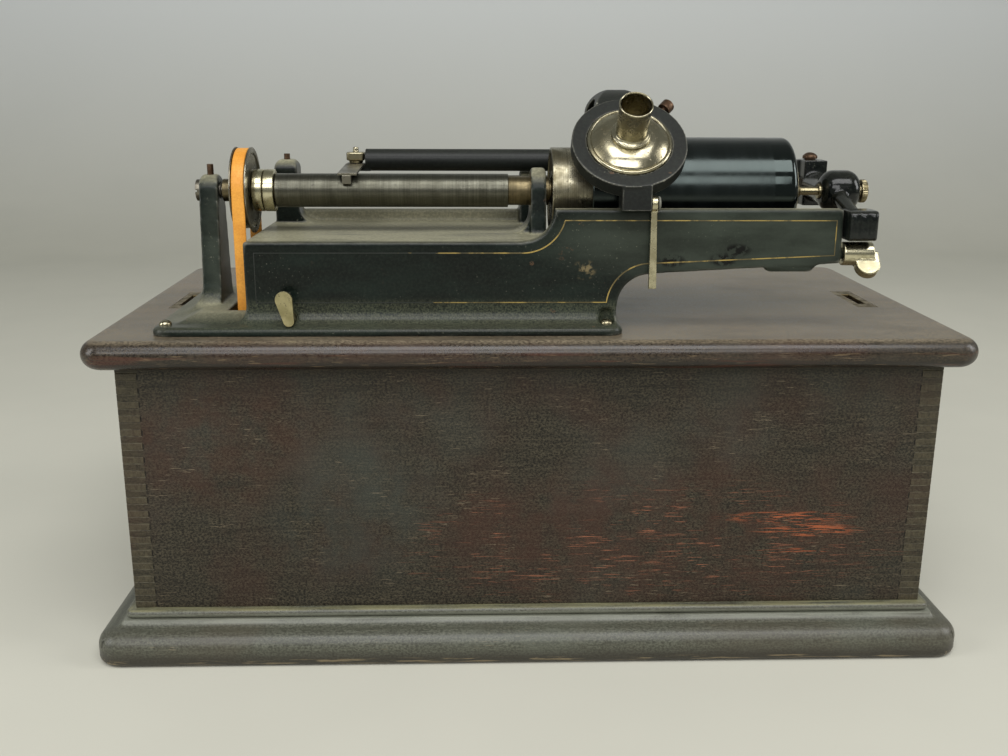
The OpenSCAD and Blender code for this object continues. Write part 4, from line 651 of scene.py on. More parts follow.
def bare_pine(name):
    """Unvarnished deal inside the case: pale brown, soft grain, dull."""
    finish, tree, place = begin(name)
    pores = mottle(tree, place, (60, 1.8, 1.8), 0.35, 0.68, 5.0)
    cloud = mottle(tree, place, 50, 0.4, 0.7, 3.0, 2.1)
    colour = tint(tree, pores, linear("#7b5f40"), linear("#5b4430"))
    colour = stain(tree, cloud, 0.5, colour, "#4a3a2c")
    complete(tree, [(pores, 0.1, 0.4)], {"Base Color": colour, "Roughness": level(tree, pores, 0.6, 0.8)})
    return finish


def mica_sheet(name):
    """Split mica: pale, slightly pearly, with faint flakes."""
    finish, tree, place = begin(name)
    flake = mottle(tree, place, 6, 0.4, 0.7, 5.0)
    colour = tint(tree, flake, linear("#c9c2a8"), linear("#a99f82"))
    complete(tree, [(flake, 0.02, 0.3)], {"Base Color": colour, "Roughness": level(tree, flake, 0.2, 0.4)})
    return finish


def paper_sweep(name, tone):
    """Plain matt paper of the stage, with painted light that pales it higher up."""
    finish, tree, place = begin(name)
    fibre = mottle(tree, place, 240, 0.3, 0.7, 3.0)
    tall = add(tree, "ShaderNodeSeparateXYZ", {0: place}).outputs["Z"]
    # Paling of the paper with height is painted light on the backdrop.
    far = add(tree, "ShaderNodeMapRange", {"Value": tall, "From Min": 0.0, "From Max": 0.5}).outputs[0]
    colour = stain(tree, fibre, 0.25, linear(tone), "#b9b8ac")
    colour = tint(tree, far, colour, linear("#e6e8e6"))
    complete(tree, [], {"Base Color": colour, "Roughness": 0.95, "Specular IOR Level": 0.1})
    return finish


FINISH = {}
# Japanned irons: name, film, bloom and dust colour, most dust, most edge wear and painted edge highlight,
# lowest and highest roughness
JAPANS = {
    "worn_japan": ("worn_japanned_iron", "#080a09", "#121613", "#56564a", 0.1, 0.8, 0.48, 0.54),
    "tube_japan": ("dull_japanned_tube", "#080a09", "#161a17", "#56564a", 0.12, 0.0, 0.5, 0.56),
    "gloss_japan": ("gloss_japanned_iron", "#070909", "#121615", "#4d4d42", 0.2, 0.1, 0.12, 0.2),
}
# Bare metals: name, clean, stained and spotted colour, stain size in millimetres, lowest and highest
# roughness, and for some the width of the tool lines in millimetres
METALS = {
    "steel": ("aged_steel", "#827e71", "#69645a", "#4b4339", 12, 0.32, 0.44),
    "turned_steel": ("turned_steel", "#9b9788", "#6e6958", "#4a3c2c", 12, 0.25, 0.45, 0.5),
    "oiled_steel": ("oiled_feed_screw_steel", "#6c6b60", "#605f53", "#3a3830", 60, 0.33, 0.37, 0.8),
    "dull_journal": ("dull_bearing_bronze", "#7c7055", "#625943", "#3d3629", 8, 0.34, 0.48, 0.6),
    "rusty_steel": ("rusty_screw_steel", "#6d5847", "#4d3b2e", "#2e211a", 4, 0.4, 0.6),
    "iron": ("machined_cast_iron", "#77746a", "#5a5649", "#403830", 20, 0.42, 0.56),
    "brass": ("tarnished_brass", "#a2987a", "#786f55", "#4a4232", 8, 0.24, 0.42),
    "bronze": ("dull_bronze", "#8f7d58", "#655a40", "#3f3626", 7, 0.35, 0.55),
    "pale_brass": ("rubbed_pale_brass", "#c2b88f", "#a0976f", "#6b6248", 10, 0.28, 0.42),
    "nickel": ("tarnished_nickel_plate", "#bbb49b", "#948c71", "#665c46", 12, 0.14, 0.32),
    "stained_nickel": ("stained_nickel_mandrel", "#aca690", "#7d765f", "#554d3a", 9, 0.24, 0.42, 0.6),
    "plated": ("worn_plated_brass", "#d0c9ac", "#a9a284", "#726a52", 9, 0.18, 0.34),
}


def make_finishes(tones):
    """Builds every finish once, from the colours that a user may change."""
    FINISH["front_oak"] = shellacked_case_oak("shellacked_oak_front", 0, tones)
    FINISH["side_oak"] = shellacked_case_oak("shellacked_oak_side", 1, tones)
    FINISH["moulding"] = shellacked_moulding_oak("shellacked_oak_moulding", 0)
    FINISH["moulding_end"] = shellacked_moulding_oak("shellacked_oak_moulding_end", 1)
    FINISH["board"] = shellacked_board_oak("shellacked_oak_board")
    FINISH["japan"] = japanned_iron("japanned_iron", tones.japan, "#13201a", "#a09c82", 0.95, 0.5, 0.3, 0.42,
                                    marks=True)
    for key, values in JAPANS.items():
        FINISH[key] = japanned_iron(*values)
    for key, values in METALS.items():
        FINISH[key] = bare_metal(*values)
    FINISH["leather"] = belt_leather("belt_leather")
    FINISH["record"] = moulded_record("moulded_record_black", span("record_cylinder", 0)[1] - BLANK_END)
    FINISH["gilt"] = gilt_line("gilt_pinstripe")
    FINISH["pine"] = bare_pine("bare_pine")
    FINISH["mica"] = mica_sheet("split_mica")
    FINISH["paper"] = paper_sweep("studio_paper", tones.floor)


# Geometry node trees


def open_tree(name, sockets):
    """A geometry tree with its named inputs."""
    tree = bpy.data.node_groups.new(name, "GeometryNodeTree")
    tree.interface.new_socket("Geometry", in_out="INPUT", socket_type="NodeSocketGeometry")
    for label, kind, default in sockets:
        made = tree.interface.new_socket(label, in_out="INPUT", socket_type=kind)
        if default is not None:
            made.default_value = default
    tree.interface.new_socket("Geometry", in_out="OUTPUT", socket_type="NodeSocketGeometry")
    return tree, add(tree, "NodeGroupInput").outputs


def close_tree(tree, geometry, material):
    """Ends a tree with real geometry and its finish."""
    real = add(tree, "GeometryNodeRealizeInstances", {"Geometry": geometry})
    done = add(tree, "GeometryNodeSetMaterial", {"Geometry": real.outputs[0], "Material": material})
    add(tree, "NodeGroupOutput", {"Geometry": done.outputs[0]})
    return tree


def grown(tree, name, mesh, values):
    """Runs a tree on a mesh and returns the plain result as an object."""
    made = new_object(name, mesh)
    grow = made.modifiers.new("grow", "NODES")
    grow.node_group = tree
    for item in tree.interface.items_tree:
        if item.in_out == "INPUT" and item.name in values:
            grow[item.identifier] = values[item.name]
    make_plain(made)
    return made


def strip_tree():
    """A flat strip with round edges along a path that lies in the XY plane."""
    tree, given = open_tree("strip_on_path", [
        ("Width", "NodeSocketFloat", 0.001), ("Thickness", "NodeSocketFloat", 0.0002),
        ("Edge Radius", "NodeSocketFloat", 0.00005), ("Material", "NodeSocketMaterial", None)])
    path = add(tree, "GeometryNodeMeshToCurve", {"Mesh": given["Geometry"]})
    level_path = add(tree, "GeometryNodeSetCurveNormal", {"Curve": path.outputs[0]}, mode="Z_UP")
    section = add(tree, "GeometryNodeCurvePrimitiveQuadrilateral",
                  {"Width": given["Width"], "Height": given["Thickness"]})
    rounded = add(tree, "GeometryNodeFilletCurve",
                  {"Curve": section.outputs[0], "Radius": given["Edge Radius"], "Count": 3}, mode="POLY")
    strip = add(tree, "GeometryNodeCurveToMesh", {"Curve": level_path.outputs[0],
                                                  "Profile Curve": rounded.outputs[0], "Fill Caps": True})
    return close_tree(tree, strip.outputs[0], given["Material"])


def ridge_tree():
    """Knurl: a ring of ridges round the Z axis."""
    tree, given = open_tree("ring_of_ridges", [
        ("Count", "NodeSocketInt", 40), ("Radius", "NodeSocketFloat", 0.006),
        ("Ridge", "NodeSocketVector", (0.0006, 0.0006, 0.003)), ("Height", "NodeSocketFloat", 0.0),
        ("Material", "NodeSocketMaterial", None)])
    ring = add(tree, "GeometryNodeMeshCircle", {"Vertices": given["Count"], "Radius": given["Radius"]})
    lift = add(tree, "ShaderNodeCombineXYZ", {"Z": given["Height"]})
    raised = add(tree, "GeometryNodeSetPosition", {"Geometry": ring.outputs[0], "Offset": lift.outputs[0]})
    ridge = add(tree, "GeometryNodeMeshCylinder", {"Vertices": 4, "Radius": 0.70711, "Depth": 1.0})
    outward = add(tree, "GeometryNodeInputPosition")
    facing = add(tree, "FunctionNodeAlignRotationToVector", {"Vector": outward.outputs[0]},
                 axis="X", pivot_axis="Z")
    spread = add(tree, "GeometryNodeInstanceOnPoints",
                 {"Points": raised.outputs[0], "Instance": ridge.outputs[0], "Rotation": facing.outputs[0],
                  "Scale": given["Ridge"]})
    both = add(tree, "GeometryNodeJoinGeometry", {"Geometry": spread.outputs[0]})
    tree.links.new(given["Geometry"], both.inputs["Geometry"])
    return close_tree(tree, both.outputs[0], given["Material"])


def thread_tree():
    """A thread ridge that climbs a bar along the Z axis."""
    tree, given = open_tree("thread_on_bar", [
        ("Turns", "NodeSocketFloat", 90.0), ("Radius", "NodeSocketFloat", 0.0088),
        ("Length", "NodeSocketFloat", 0.12), ("Ridge", "NodeSocketFloat", 0.0005),
        ("Material", "NodeSocketMaterial", None)])
    climb = add(tree, "GeometryNodeCurveSpiral",
                {"Resolution": 36, "Rotations": given["Turns"], "Start Radius": given["Radius"],
                 "End Radius": given["Radius"], "Height": given["Length"]})
    section = add(tree, "GeometryNodeCurvePrimitiveCircle", {"Resolution": 4, "Radius": given["Ridge"]})
    ridge = add(tree, "GeometryNodeCurveToMesh",
                {"Curve": climb.outputs[0], "Profile Curve": section.outputs[0], "Fill Caps": True})
    both = add(tree, "GeometryNodeJoinGeometry", {"Geometry": ridge.outputs[0]})
    tree.links.new(given["Geometry"], both.inputs["Geometry"])
    return close_tree(tree, both.outputs[0], given["Material"])


def scatter_tree():
    """One shape set at every point of a mesh."""
    tree, given = open_tree("shape_at_points", [
        ("Shape", "NodeSocketObject", None), ("Turn", "NodeSocketFloat", 0.0), ("Seed", "NodeSocketInt", 3),
        ("Material", "NodeSocketMaterial", None)])
    points = add(tree, "GeometryNodeMeshToPoints", {"Mesh": given["Geometry"]})
    shape = add(tree, "GeometryNodeObjectInfo", {"Object": given["Shape"]})
    angle = add(tree, "FunctionNodeRandomValue", {"Min": -1.0, "Max": 1.0, "Seed": given["Seed"]},
                data_type="FLOAT")
    swing = add(tree, "ShaderNodeMath", {0: angle.outputs[1], 1: given["Turn"]}, operation="MULTIPLY")
    spin = add(tree, "ShaderNodeCombineXYZ", {"Z": swing.outputs[0]})
    spread = add(tree, "GeometryNodeInstanceOnPoints", {"Points": points.outputs[0],
                                                        "Instance": shape.outputs["Geometry"],
                                                        "Rotation": spin.outputs[0]})
    return close_tree(tree, spread.outputs[0], given["Material"])


def path_mesh(name, points):
    """Points in millimetres joined to a closed path in the XY plane."""
    mesh = bpy.data.meshes.new(name)
    edges = [(i, (i + 1) % len(points)) for i in range(len(points))]
    mesh.from_pydata([(x * MM, y * MM, 0) for x, y in points], edges, [])
    return mesh


def arc(cx, cy, r, start, end, steps=20):
    """Points on an arc, angles in degrees."""
    out = []
    for k in range(steps + 1):
        a = math.radians(start + (end - start) * k / steps)
        out.append((cx + r * math.cos(a), cy + r * math.sin(a)))
    return out


# Sizes and colours that a user may change


class PhonographTones(bpy.types.PropertyGroup):
    """Colours of the main finishes."""

    varnish_dark: bpy.props.StringProperty(name="Varnish, dark", description="Dark tone of the case",
                                           default="#120f0a")
    varnish_light: bpy.props.StringProperty(name="Varnish, light", description="Light tone of the case",
                                            default="#464032")
    japan: bpy.props.StringProperty(name="Japan", description="Colour of the black japan", default="#060c09")
    floor: bpy.props.StringProperty(name="Floor", description="Colour of the paper", default="#c8c6b9")


class PhonographSizes(bpy.types.PropertyGroup):
    """Sizes of the fine detail."""

    wood_edge: bpy.props.FloatProperty(name="Wood edge", description="Rounding of the wooden edges",
                                       default=0.35 * MM, unit="LENGTH")
    cast_grain: bpy.props.FloatProperty(name="Cast grain", default=0.9 * MM, unit="LENGTH",
                                        description="Mesh size that softens the bed's edges")
    stripe_width: bpy.props.FloatProperty(name="Stripe width", description="Width of the gilt line",
                                          default=0.65 * MM, unit="LENGTH")
    stripe_inset: bpy.props.FloatProperty(name="Stripe inset", default=5.5 * MM, unit="LENGTH",
                                          description="Distance of the gilt line from the edge")
    thread_pitch: bpy.props.FloatProperty(name="Thread pitch", default=0.4 * MM, unit="LENGTH",
                                          description="Pitch at which the feed thread is drawn")


def sizes():
    """The scene's detail sizes."""
    return bpy.context.scene.phonograph_sizes


# Lamps of the stage: name, place, target and size in metres, power in watts
LAMPS = (
    ("overhead_softbox", (0.1, -0.95, 1.7), (0, -0.05, 0.15), (1.7, 0.8), 21),
    ("front_softbox", (-0.15, -1.9, 1.25), (0, -0.05, 0.2), (1.9, 0.6), 15),
    ("left_softbox", (-1.7, -0.7, 0.9), (0, -0.05, 0.15), (0.7, 1.2), 11),
    ("right_softbox", (1.8, -0.35, 1.0), (0.05, -0.05, 0.15), (0.7, 1.1), 13),
)


# Operators


class PHONO_OT_finishes(bpy.types.Operator):
    """Build the finishes"""

    bl_idname = "phono.finishes"
    bl_label = "Finishes"

    def execute(self, context):
        make_finishes(context.scene.phonograph_tones)
        return {"FINISHED"}


class PHONO_OT_cabinet(bpy.types.Operator):
    """Walls, moulding and metalwork of the case"""

    bl_idname = "phono.cabinet"
    bl_label = "Cabinet"

    def execute(self, context):
        edge = sizes().wood_edge / MM
        ease_all(("wall_front", edge, "front_oak"), ("wall_back", edge, "front_oak"),
                 ("wall_left", edge, "side_oak"), ("wall_right", edge, "side_oak"),
                 ("moulding_long", 0, "moulding"), ("moulding_short", 0, "moulding_end"),
                 ("floor_panel", 0.4, "pine"), ("crank_bush", 0.5, "brass"),
                 ("hinge_lower_leaves", 0.25, "steel"), ("hinge_pins", 0.3, "steel"))
        return {"FINISHED"}


class PHONO_OT_board(bpy.types.Operator):
    """Motor board with its slot plates and hinge leaves"""

    bl_idname = "phono.board"
    bl_label = "Motor board"

    def execute(self, context):
        ease_all(("top_board", 0, "board"), ("clip_slot_plates", 0.3, "bronze"),
                 ("hinge_upper_leaves", 0.25, "steel"))
        return {"FINISHED"}


class PHONO_OT_bed(bpy.types.Operator):
    """Bed casting with its screws and gilt lines"""

    bl_idname = "phono.bed"
    bl_label = "Bed casting"

    def execute(self, context):
        cast_copy("bed_casting", sizes().cast_grain / MM, FINISH["japan"], rounds=6, keep=0.3)
        self.screws()
        self.stripes()
        return {"FINISHED"}

    def screws(self):
        """Slotted round heads, turned as they were left."""
        low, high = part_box("bed_screws")
        radius, tall, stem, deep = 3.2, 2.6, 2.0, 6.0
        slot_long, slot_wide, slot_tall = 8, 0.9, 2.2
        head = bmesh.new()
        outline = [(-deep, TIP), (-deep, stem), (-TIP, stem), (0.0, radius), (0.9, radius), (1.7, 2.7),
                   (2.3, 1.7), (tall, 0.6), (tall, TIP)]
        lathe(head, outline, Matrix.Identity(4), steps=40, closed=False)
        join_points(head, 0.003)
        shape = new_object("screw_shape", mesh_of(head, "screw_shape"))
        cut = bmesh.new()
        block = Matrix.Diagonal((slot_long * MM, slot_wide * MM, slot_tall * MM, 1))
        bmesh.ops.create_cube(cut, size=1.0, matrix=Matrix.Translation((0, 0, tall * MM)) @ block)
        cutter = new_object("screw_slot", mesh_of(cut, "screw_slot"))
        carve = shape.modifiers.new("slot", "BOOLEAN")
        carve.object = cutter
        carve.solver = "EXACT"
        make_plain(shape)
        inset = radius * MM
        corners = [(x, y, high.z - tall * MM) for x in (low.x + inset, high.x - inset)
                   for y in (low.y + inset, high.y - inset)]
        points = bpy.data.meshes.new("screw_points")
        points.from_pydata(corners, [], [])
        made = grown(scatter_tree(), "bed_screw_heads", points,
                     {"Shape": shape, "Turn": 1.4, "Seed": 5, "Material": FINISH["nickel"]})
        bpy.data.objects.remove(shape)
        bpy.data.objects.remove(cutter)
        shade(made.data)
        stand_in(made, FINISH["nickel"], "bed_screws")

    def stripes(self):
        """The gilt line that follows the front outline of the bed."""
        inset = sizes().stripe_inset / MM
        bed_left, bed_right, arm_right = -147.4, 43, 158
        edge_height, deck_height, foot_height = 63, 46.5, 15.5
        rise, rise_right = 16.5, 10.8
        arch, arch_height = 17, 30.2
        end_margin, arm_height, low_margin = 3.6, 35.5, 4.2
        edge_z = BOARD_TOP + edge_height
        deck_z = BOARD_TOP + deck_height
        rise_x = rise_right - rise
        arch_x = bed_right + arch
        arch_z = BOARD_TOP + arch_height - arch
        arm_end = arm_right - end_margin
        low_right = BOARD_TOP + arm_height + low_margin
        top = edge_z - inset
        reach = rise + inset
        corner = math.degrees(math.asin(-inset / reach))
        left = bed_left + inset
        foot = BOARD_TOP + foot_height
        arch_r = arch + inset
        turn = math.degrees(math.asin((foot - arch_z) / arch_r))
        points = [(left, foot), (left, deck_z - inset)]
        points += arc(rise_x, edge_z, reach, -90, corner)
        points += [(arm_end, top), (arm_end, low_right)]
        points += arc(arch_x, arch_z, arch_r, 90, 180 - turn)
        mesh = path_mesh("gilt_path", points)
        made = grown(strip_tree(), "gilt_lines", mesh,
                     {"Width": sizes().stripe_width, "Thickness": 0.12 * MM, "Edge Radius": 0.02 * MM,
                      "Material": FINISH["gilt"]})
        made.data.transform(Matrix.Translation((0, FRONT_Y * MM, 0)) @ Matrix.Rotation(math.pi / 2, 4, "X"))
        settle(made, "motor_board", "japanned_iron", FINISH["gilt"])


class PHONO_OT_shaft(bpy.types.Operator):
    """Shaft line: pulley, belt, collars, feed screw, mandrel and record"""

    bl_idname = "phono.shaft"
    bl_label = "Shaft line"

    def execute(self, context):
        place = along_x(SHAFT_Y, SHAFT_Z)
        ease_all(("main_shaft", 0.25, "dull_journal"), ("shaft_bush", 0.3, "bronze"),
                 ("left_centre_screw", 0.3, "steel"), ("set_screws", 0.25, "rusty_steel"),
                 ("back_rod", 0.4, "steel"))
        self.pulley("shaft_pulley", place)
        self.collars(place)
        self.feed_screw()
        self.mandrel(place)
        self.record(place)
        self.belt()
        return {"FINISHED"}

    def pulley(self, node, place):
        """Grooved pulley with a dished web and a hub."""
        a, b = span(node, 0)
        out = half(node, 2)
        groove_depth, belt_room, small_bore = 2.4, 7.1, 4.0
        groove = out - groove_depth
        rim = (b - a - belt_room) / 2
        bore = SHAFT_BORE if node == "shaft_pulley" else small_bore
        web, hub = b - 0.5, b - 0.2
        outline = [(a, bore), (a, out), (a + rim, out), (a + rim, groove), (b - rim, groove), (b - rim, out),
                   (b, out), (b, out - 3.0), (web, out - 3.5), (web, bore + 5.0), (hub, bore + 4.6),
                   (hub, bore)]
        turned(node + "_turned", [eased(outline, 0.5)], place, FINISH["turned_steel"], node)

    def collars(self, place):
        """Two brass collars with rounded rims."""
        a, b = span("shaft_collars", 0)
        out = half("shaft_collars", 2)
        left_wide, right_wide = 5.2, 5.7
        outlines = []
        for start, wide in ((a, left_wide), (b - right_wide, right_wide)):
            end = start + wide
            outlines.append(eased([(start, SHAFT_BORE), (start, out), (end, out), (end, SHAFT_BORE)], 0.7))
        turned("collars_turned", outlines, place, FINISH["plated"], "shaft_collars")

    def feed_screw(self):
        """Bar with a thread ridge; the real thread is a hundred turns to the inch and is drawn coarser."""
        a, b = span("feed_screw", 0)
        ridge, bare_end = 0.08, 1.5
        core = half("feed_screw", 2) - ridge
        bm = bmesh.new()
        outline = [(a, SHAFT_BORE), (a, core), (b, core), (b, SHAFT_BORE)]
        lathe(bm, eased(outline, 0.3), Matrix.Identity(4), steps=64)
        bmesh.ops.recalc_face_normals(bm, faces=bm.faces)
        mesh = mesh_of(bm, "feed_screw_core")
        run = b - a - 2 * bare_end
        mesh.transform(Matrix.Translation((0, 0, -(a + bare_end) * MM)))
        pitch = sizes().thread_pitch / MM
        made = grown(thread_tree(), "feed_screw_thread", mesh,
                     {"Turns": run / pitch, "Radius": core * MM, "Length": run * MM, "Ridge": ridge * MM,
                      "Material": FINISH["oiled_steel"]})
        made.data.transform(Matrix.Translation((0, 0, (a + bare_end) * MM)))
        made.data.transform(along_x(SHAFT_Y * MM, SHAFT_Z * MM))
        shade(made.data, HARD_ANGLE)
        stand_in(made, FINISH["oiled_steel"], "feed_screw")

    def mandrel(self, place):
        """Tapered nickelled drum with dished ends."""
        a, b = span("mandrel", 0)
        thick = half("mandrel", 2)
        thin, rim, dish = 20.75, 2.6, 0.8
        outline = [(a, SHAFT_BORE), (a + dish, 8.5), (a + dish, thick - 3.4), (a, thick - rim), (a, thick),
                   (b, thin), (b, thin - rim), (b - dish, thin - 3.2), (b - dish, 8.0), (b, SHAFT_BORE)]
        turned("mandrel_turned", [eased(outline, 0.6)], place, FINISH["stained_nickel"], "mandrel", steps=128)

    def record(self, place):
        """Moulded record with a rounded rim, a bevelled bore and a tapered inside."""
        a, b = span("record_cylinder", 0)
        out = half("record_cylinder", 2)
        left_bore, right_bore = 22.9, 21.0
        left_bevel, right_bevel, rim_round = 0.7, 0.8, 4
        outline = [(a, left_bore), (a, out - left_bevel), (a + left_bevel, out)]
        outline += arc(b - rim_round, out - rim_round, rim_round, 90, 0, 8)
        outline += [(b, right_bore + right_bevel), (b - right_bevel, right_bore)]
        turned("record_moulded", [eased(outline, 0.3)], place, FINISH["record"], "record_cylinder", steps=160)

    def belt(self):
        """Leather belt round both pulleys."""
        a, b = span("drive_belt", 0)
        out = half("drive_belt", 1)
        thick = 1.6
        middle = out - thick / 2
        low = span("drive_belt", 2)[0] + out
        points = arc(0, SHAFT_Z, middle, 0, 180, 40) + arc(0, low, middle, 180, 360, 40)
        mesh = path_mesh("belt_path", points)
        made = grown(strip_tree(), "belt_band", mesh,
                     {"Width": thick * MM, "Thickness": (b - a) * MM, "Edge Radius": 0.45 * MM,
                      "Material": FINISH["leather"]})
        stand = Matrix.Rotation(math.pi / 2, 4, "Z") @ Matrix.Rotation(math.pi / 2, 4, "X")
        made.data.transform(Matrix.Translation(((a + b) / 2 * MM, SHAFT_Y * MM, 0)) @ stand)
        shade(made.data, SOFT_ANGLE)
        stand_in(made, FINISH["leather"], "drive_belt")


class PHONO_OT_carriage(bpy.types.Operator):
    """Carriage with its reproducer, feed-nut arm and lift lever"""

    bl_idname = "phono.carriage"
    bl_label = "Carriage"

    def execute(self, context):
        cast_copy("carriage_arm", 0.6, FINISH["worn_japan"], rounds=3)
        ease_all(("sleeve_bush", 0.2, "bronze"), ("feed_nut_tube", 0.4, "tube_japan"),
                 ("feed_nut_spring", 0.2, "steel"), ("half_nut", 0.3, "steel"),
                 ("stylus_bar", 0.25, "steel"), ("diaphragm", 0, "mica"),
                 ("lift_lever", 0.4, "plated"), ("clamp_screw", 0.5, "rusty_steel"))
        eased_copy("thumb_nut", 0.9, FINISH["nickel"], segments=3)
        self.reproducer()
        return {"FINISHED"}

    def reproducer(self):
        """Domed body with a bead round its edge and a bare neck with a rolled lip."""
        tilt, forward, above = 45, 34, 27.5
        body, neck, lip, bore, tall = 21.7, 7.95, 8.45, 7.45, 26.5
        skirt, back, floor = 18.7, -8, -4.0
        ledge, rise, dome_rise, neck_foot = 2.0, 1.2, 3.9, 1.6
        x = (span("reproducer", 0)[0] + span("reproducer", 0)[1]) / 2
        face = Matrix.Translation((x, SHAFT_Y - forward, SHAFT_Z + above))
        face = face @ Matrix.Rotation(math.radians(tilt), 4, "X")
        dome = []
        for k in range(13):
            t = k / 12
            r = body - ledge - (body - ledge - neck - neck_foot) * t
            dome.append((rise + dome_rise * math.sin(t * math.pi / 2) ** 0.9, r))
        outline = [(back, skirt), (back, body), (0.5, body), (1.3, body - 0.7), (1.3, body - 1.6),
                   (0.9, body - ledge)]
        outline += dome
        outline += [(5.2, neck + 1.9), (5.8, neck + 2.2), (6.6, neck + 1.9), (7.0, neck + 1.0),
                    (7.4, neck + 0.3), (8.4, neck), (tall - 5.0, neck + 0.15), (tall - 1.6, lip - 0.1),
                    (tall - 0.9, lip), (tall - 0.3, lip), (tall, lip - 0.3), (tall, bore + 0.4),
                    (tall - 0.5, bore), (floor, bore), (floor, skirt)]
        outline = eased(outline, 0.35, steps=3)
        turned("reproducer_turned", [outline], face, FINISH["nickel"], "reproducer", steps=128)


class PHONO_OT_gate(bpy.types.Operator):
    """End gate with its centre, pivot screw and latch"""

    bl_idname = "phono.gate"
    bl_label = "End gate"

    def execute(self, context):
        cast_copy("end_gate", 0.5, FINISH["gloss_japan"], rounds=22)
        eased_copy("gate_pivot", 0.35, FINISH["rusty_steel"])
        eased_copy("gate_latch", 0.8, FINISH["plated"], segments=3)
        self.centre()
        return {"FINISHED"}

    def centre(self):
        """Cone-pointed centre whose head has a straight knurl."""
        a, b = span("gate_centre", 0)
        point, pin, stem, head = 0.3, 2.2, 4.0, 6.0
        cone, head_thick, shoulder = 3, 3.2, 157.4
        ridge, head_middle = (0.34 * MM, 0.5 * MM, 2.4 * MM), b - 1.6
        bm = bmesh.new()
        outline = [(a, TIP), (a, point), (a + cone, pin), (shoulder, pin), (shoulder, stem),
                   (b - head_thick, stem), (b - head_thick, head), (b, head), (b, TIP)]
        lathe(bm, eased(outline, 0.3, closed=False), Matrix.Identity(4), steps=64, closed=False)
        join_points(bm, 0.003)
        made = grown(ridge_tree(), "gate_centre_knurled", mesh_of(bm, "gate_centre_body"),
                     {"Count": 44, "Radius": head * MM, "Ridge": ridge, "Height": head_middle * MM,
                      "Material": FINISH["brass"]})
        made.data.transform(along_x(SHAFT_Y * MM, SHAFT_Z * MM))
        shade(made.data)
        stand_in(made, FINISH["brass"], "gate_centre")


class PHONO_OT_starter(bpy.types.Operator):
    """Start lever at the foot of the bed"""

    bl_idname = "phono.starter"
    bl_label = "Start lever"

    def execute(self, context):
        eased_copy("start_lever", 0.45, FINISH["pale_brass"])
        return {"FINISHED"}


class PHONO_OT_motor(bpy.types.Operator):
    """Spring motor under the board"""

    bl_idname = "phono.motor"
    bl_label = "Spring motor"

    def execute(self, context):
        iron = ("motor_plate_left", "motor_plate_right", "spring_barrel", "barrel_cap")
        steel = ("motor_pillars", "motor_screws", "pulley_arbor", "inter_arbor", "winding_arbor",
                 "governor_spindle", "ratchet_click", "mainspring")
        brass = ("governor_wheel", "inter_wheel", "ratchet_wheel", "governor_disc", "governor_weights")
        for names, finish in ((iron, "iron"), (steel, "turned_steel"), (brass, "brass")):
            for node in names:
                NODES[node].data.materials.clear()
                NODES[node].data.materials.append(FINISH[finish])
        low = span("motor_pulley", 2)
        PHONO_OT_shaft.pulley(self, "motor_pulley", along_x(SHAFT_Y, (low[0] + low[1]) / 2))
        return {"FINISHED"}


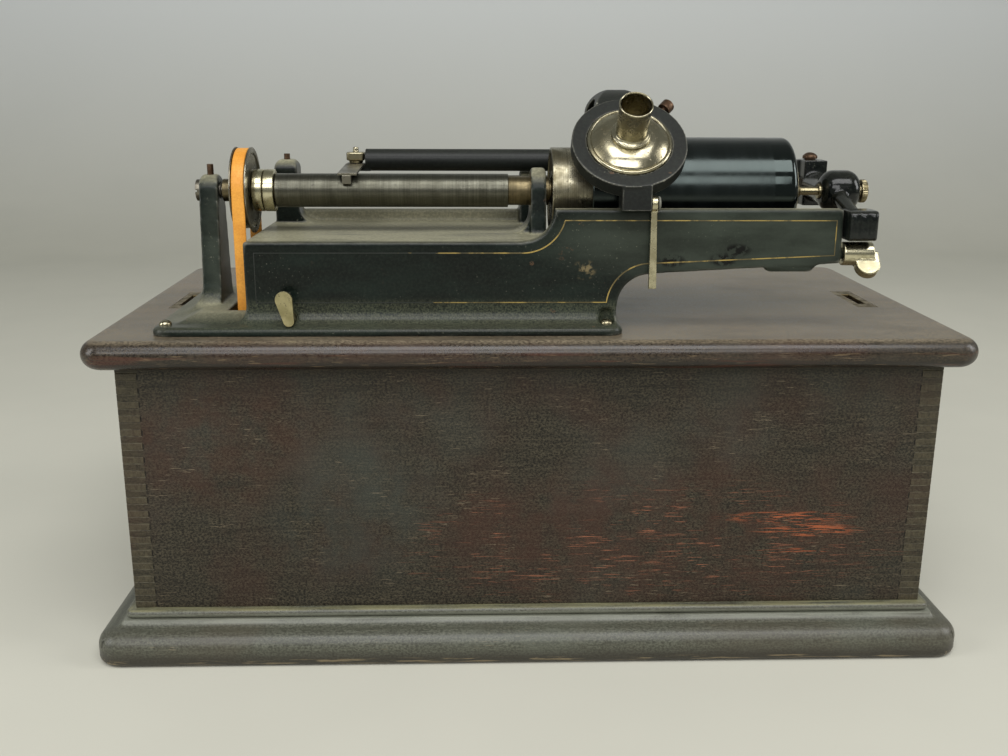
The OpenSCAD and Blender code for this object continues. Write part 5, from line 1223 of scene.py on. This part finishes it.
class PHONO_OT_stage(bpy.types.Operator):
    """Paper sweep, soft lights and the camera"""

    bl_idname = "phono.stage"
    bl_label = "Stage"

    def execute(self, context):
        self.sweep()
        self.world(context.scene)
        for lamp in LAMPS:
            self.lamp(*lamp)
        self.camera(context.scene)
        context.scene.view_settings.view_transform = "Standard"
        return {"FINISHED"}

    def sweep(self):
        """Floor that curves up into a backdrop."""
        wide, front, back, bend, tall = 4.0, -3.5, 1.3, 0.9, 4.0
        outline = [(front, 0.0), (back, 0.0)]
        outline += [(back + bend * math.sin(a), bend - bend * math.cos(a))
                    for a in [math.pi / 2 * k / 24 for k in range(1, 25)]]
        outline.append((back + bend, tall))
        bm = bmesh.new()
        rows = [(bm.verts.new((-wide, y, z)), bm.verts.new((wide, y, z))) for y, z in outline]
        for low, high in zip(rows, rows[1:]):
            bm.faces.new((low[0], low[1], high[1], high[0]))
        mesh = mesh_of(bm, "paper_sweep")
        shade(mesh, HARD_ANGLE)
        made = new_object("paper_sweep", mesh)
        mesh.materials.append(FINISH["paper"])

    def world(self, scene):
        """Pale surroundings, shown as they are to the camera and in reflections."""
        world = bpy.data.worlds.new("studio")
        scene.world = world
        world.use_nodes = True
        tree = world.node_tree
        tree.nodes.clear()
        path = add(tree, "ShaderNodeLightPath")
        seen = add(tree, "ShaderNodeMath",
                   {0: path.outputs["Is Camera Ray"], 1: path.outputs["Is Glossy Ray"]}, operation="MAXIMUM")
        shown = add(tree, "ShaderNodeMath", {0: seen.outputs[0], 1: path.outputs["Is Transmission Ray"]},
                    operation="MAXIMUM")
        lit = add(tree, "ShaderNodeBackground", {"Color": linear("#d6dad8"), "Strength": 0.32})
        pale = add(tree, "ShaderNodeBackground", {"Color": linear("#c2c5bf"), "Strength": 0.34})
        both = add(tree, "ShaderNodeMixShader", {0: shown.outputs[0], 1: lit.outputs[0], 2: pale.outputs[0]})
        add(tree, "ShaderNodeOutputWorld", {"Surface": both.outputs[0]})

    def lamp(self, name, place, target, size, power):
        """A soft rectangular lamp."""
        data = bpy.data.lights.new(name, "AREA")
        data.shape = "RECTANGLE"
        data.size, data.size_y = size
        data.energy = power
        made = new_object(name, data)
        made.location = place
        made.rotation_euler = (Vector(target) - Vector(place)).to_track_quat("-Z", "Y").to_euler()

    def camera(self, scene):
        """Camera fitted to the edges of the case and the record in the photograph."""
        focal_px = 1064.17
        place = Vector((-31.99, -634.71, 295.69))
        pitch, yaw, roll = 0.2627, 0.0314, 0.0043
        forward = Vector((math.sin(yaw) * math.cos(pitch), math.cos(yaw) * math.cos(pitch), -math.sin(pitch)))
        level_right = Vector((math.cos(yaw), -math.sin(yaw), 0))
        level_up = level_right.cross(forward)
        right = math.cos(roll) * level_right + math.sin(roll) * level_up
        up = right.cross(forward)
        data = bpy.data.cameras.new("view")
        data.sensor_fit = "HORIZONTAL"
        data.sensor_width = 36.0
        data.lens = focal_px / IMAGE_WIDTH * data.sensor_width
        data.clip_start = 0.01
        data.clip_end = 50
        made = new_object("view", data)
        turn = Matrix((right, up, -forward)).transposed().to_4x4()
        made.matrix_world = Matrix.Translation(place * MM) @ turn
        scene.camera = made


class PHONO_PT_panel(bpy.types.Panel):
    """Sizes, colours and steps of the phonograph"""

    bl_idname = "PHONO_PT_panel"
    bl_label = "Phonograph"
    bl_space_type = "VIEW_3D"
    bl_region_type = "UI"
    bl_category = "Phonograph"

    def draw(self, context):
        for group in (context.scene.phonograph_sizes, context.scene.phonograph_tones):
            for key in group.__annotations__:
                self.layout.prop(group, key)
        for step in STEPS:
            self.layout.operator(step.bl_idname)


STEPS = (PHONO_OT_finishes, PHONO_OT_cabinet, PHONO_OT_board, PHONO_OT_bed, PHONO_OT_shaft, PHONO_OT_carriage,
         PHONO_OT_gate, PHONO_OT_starter, PHONO_OT_motor, PHONO_OT_stage)
CLASSES = (PhonographTones, PhonographSizes, *STEPS, PHONO_PT_panel)


def register():
    """Adds the classes and the scene's values."""
    for kind in CLASSES:
        bpy.utils.register_class(kind)
    bpy.types.Scene.phonograph_tones = bpy.props.PointerProperty(type=PhonographTones)
    bpy.types.Scene.phonograph_sizes = bpy.props.PointerProperty(type=PhonographSizes)


def unregister():
    """Takes them away again."""
    del bpy.types.Scene.phonograph_sizes
    del bpy.types.Scene.phonograph_tones
    for kind in reversed(CLASSES):
        bpy.utils.unregister_class(kind)


def main():
    """Builds every piece in order."""
    register()
    bpy.ops.phono.finishes()
    bpy.ops.phono.cabinet()
    bpy.ops.phono.board()
    bpy.ops.phono.bed()
    bpy.ops.phono.shaft()
    bpy.ops.phono.carriage()
    bpy.ops.phono.gate()
    bpy.ops.phono.starter()
    bpy.ops.phono.motor()
    bpy.ops.phono.stage()


if __name__ == "__main__":
    main()
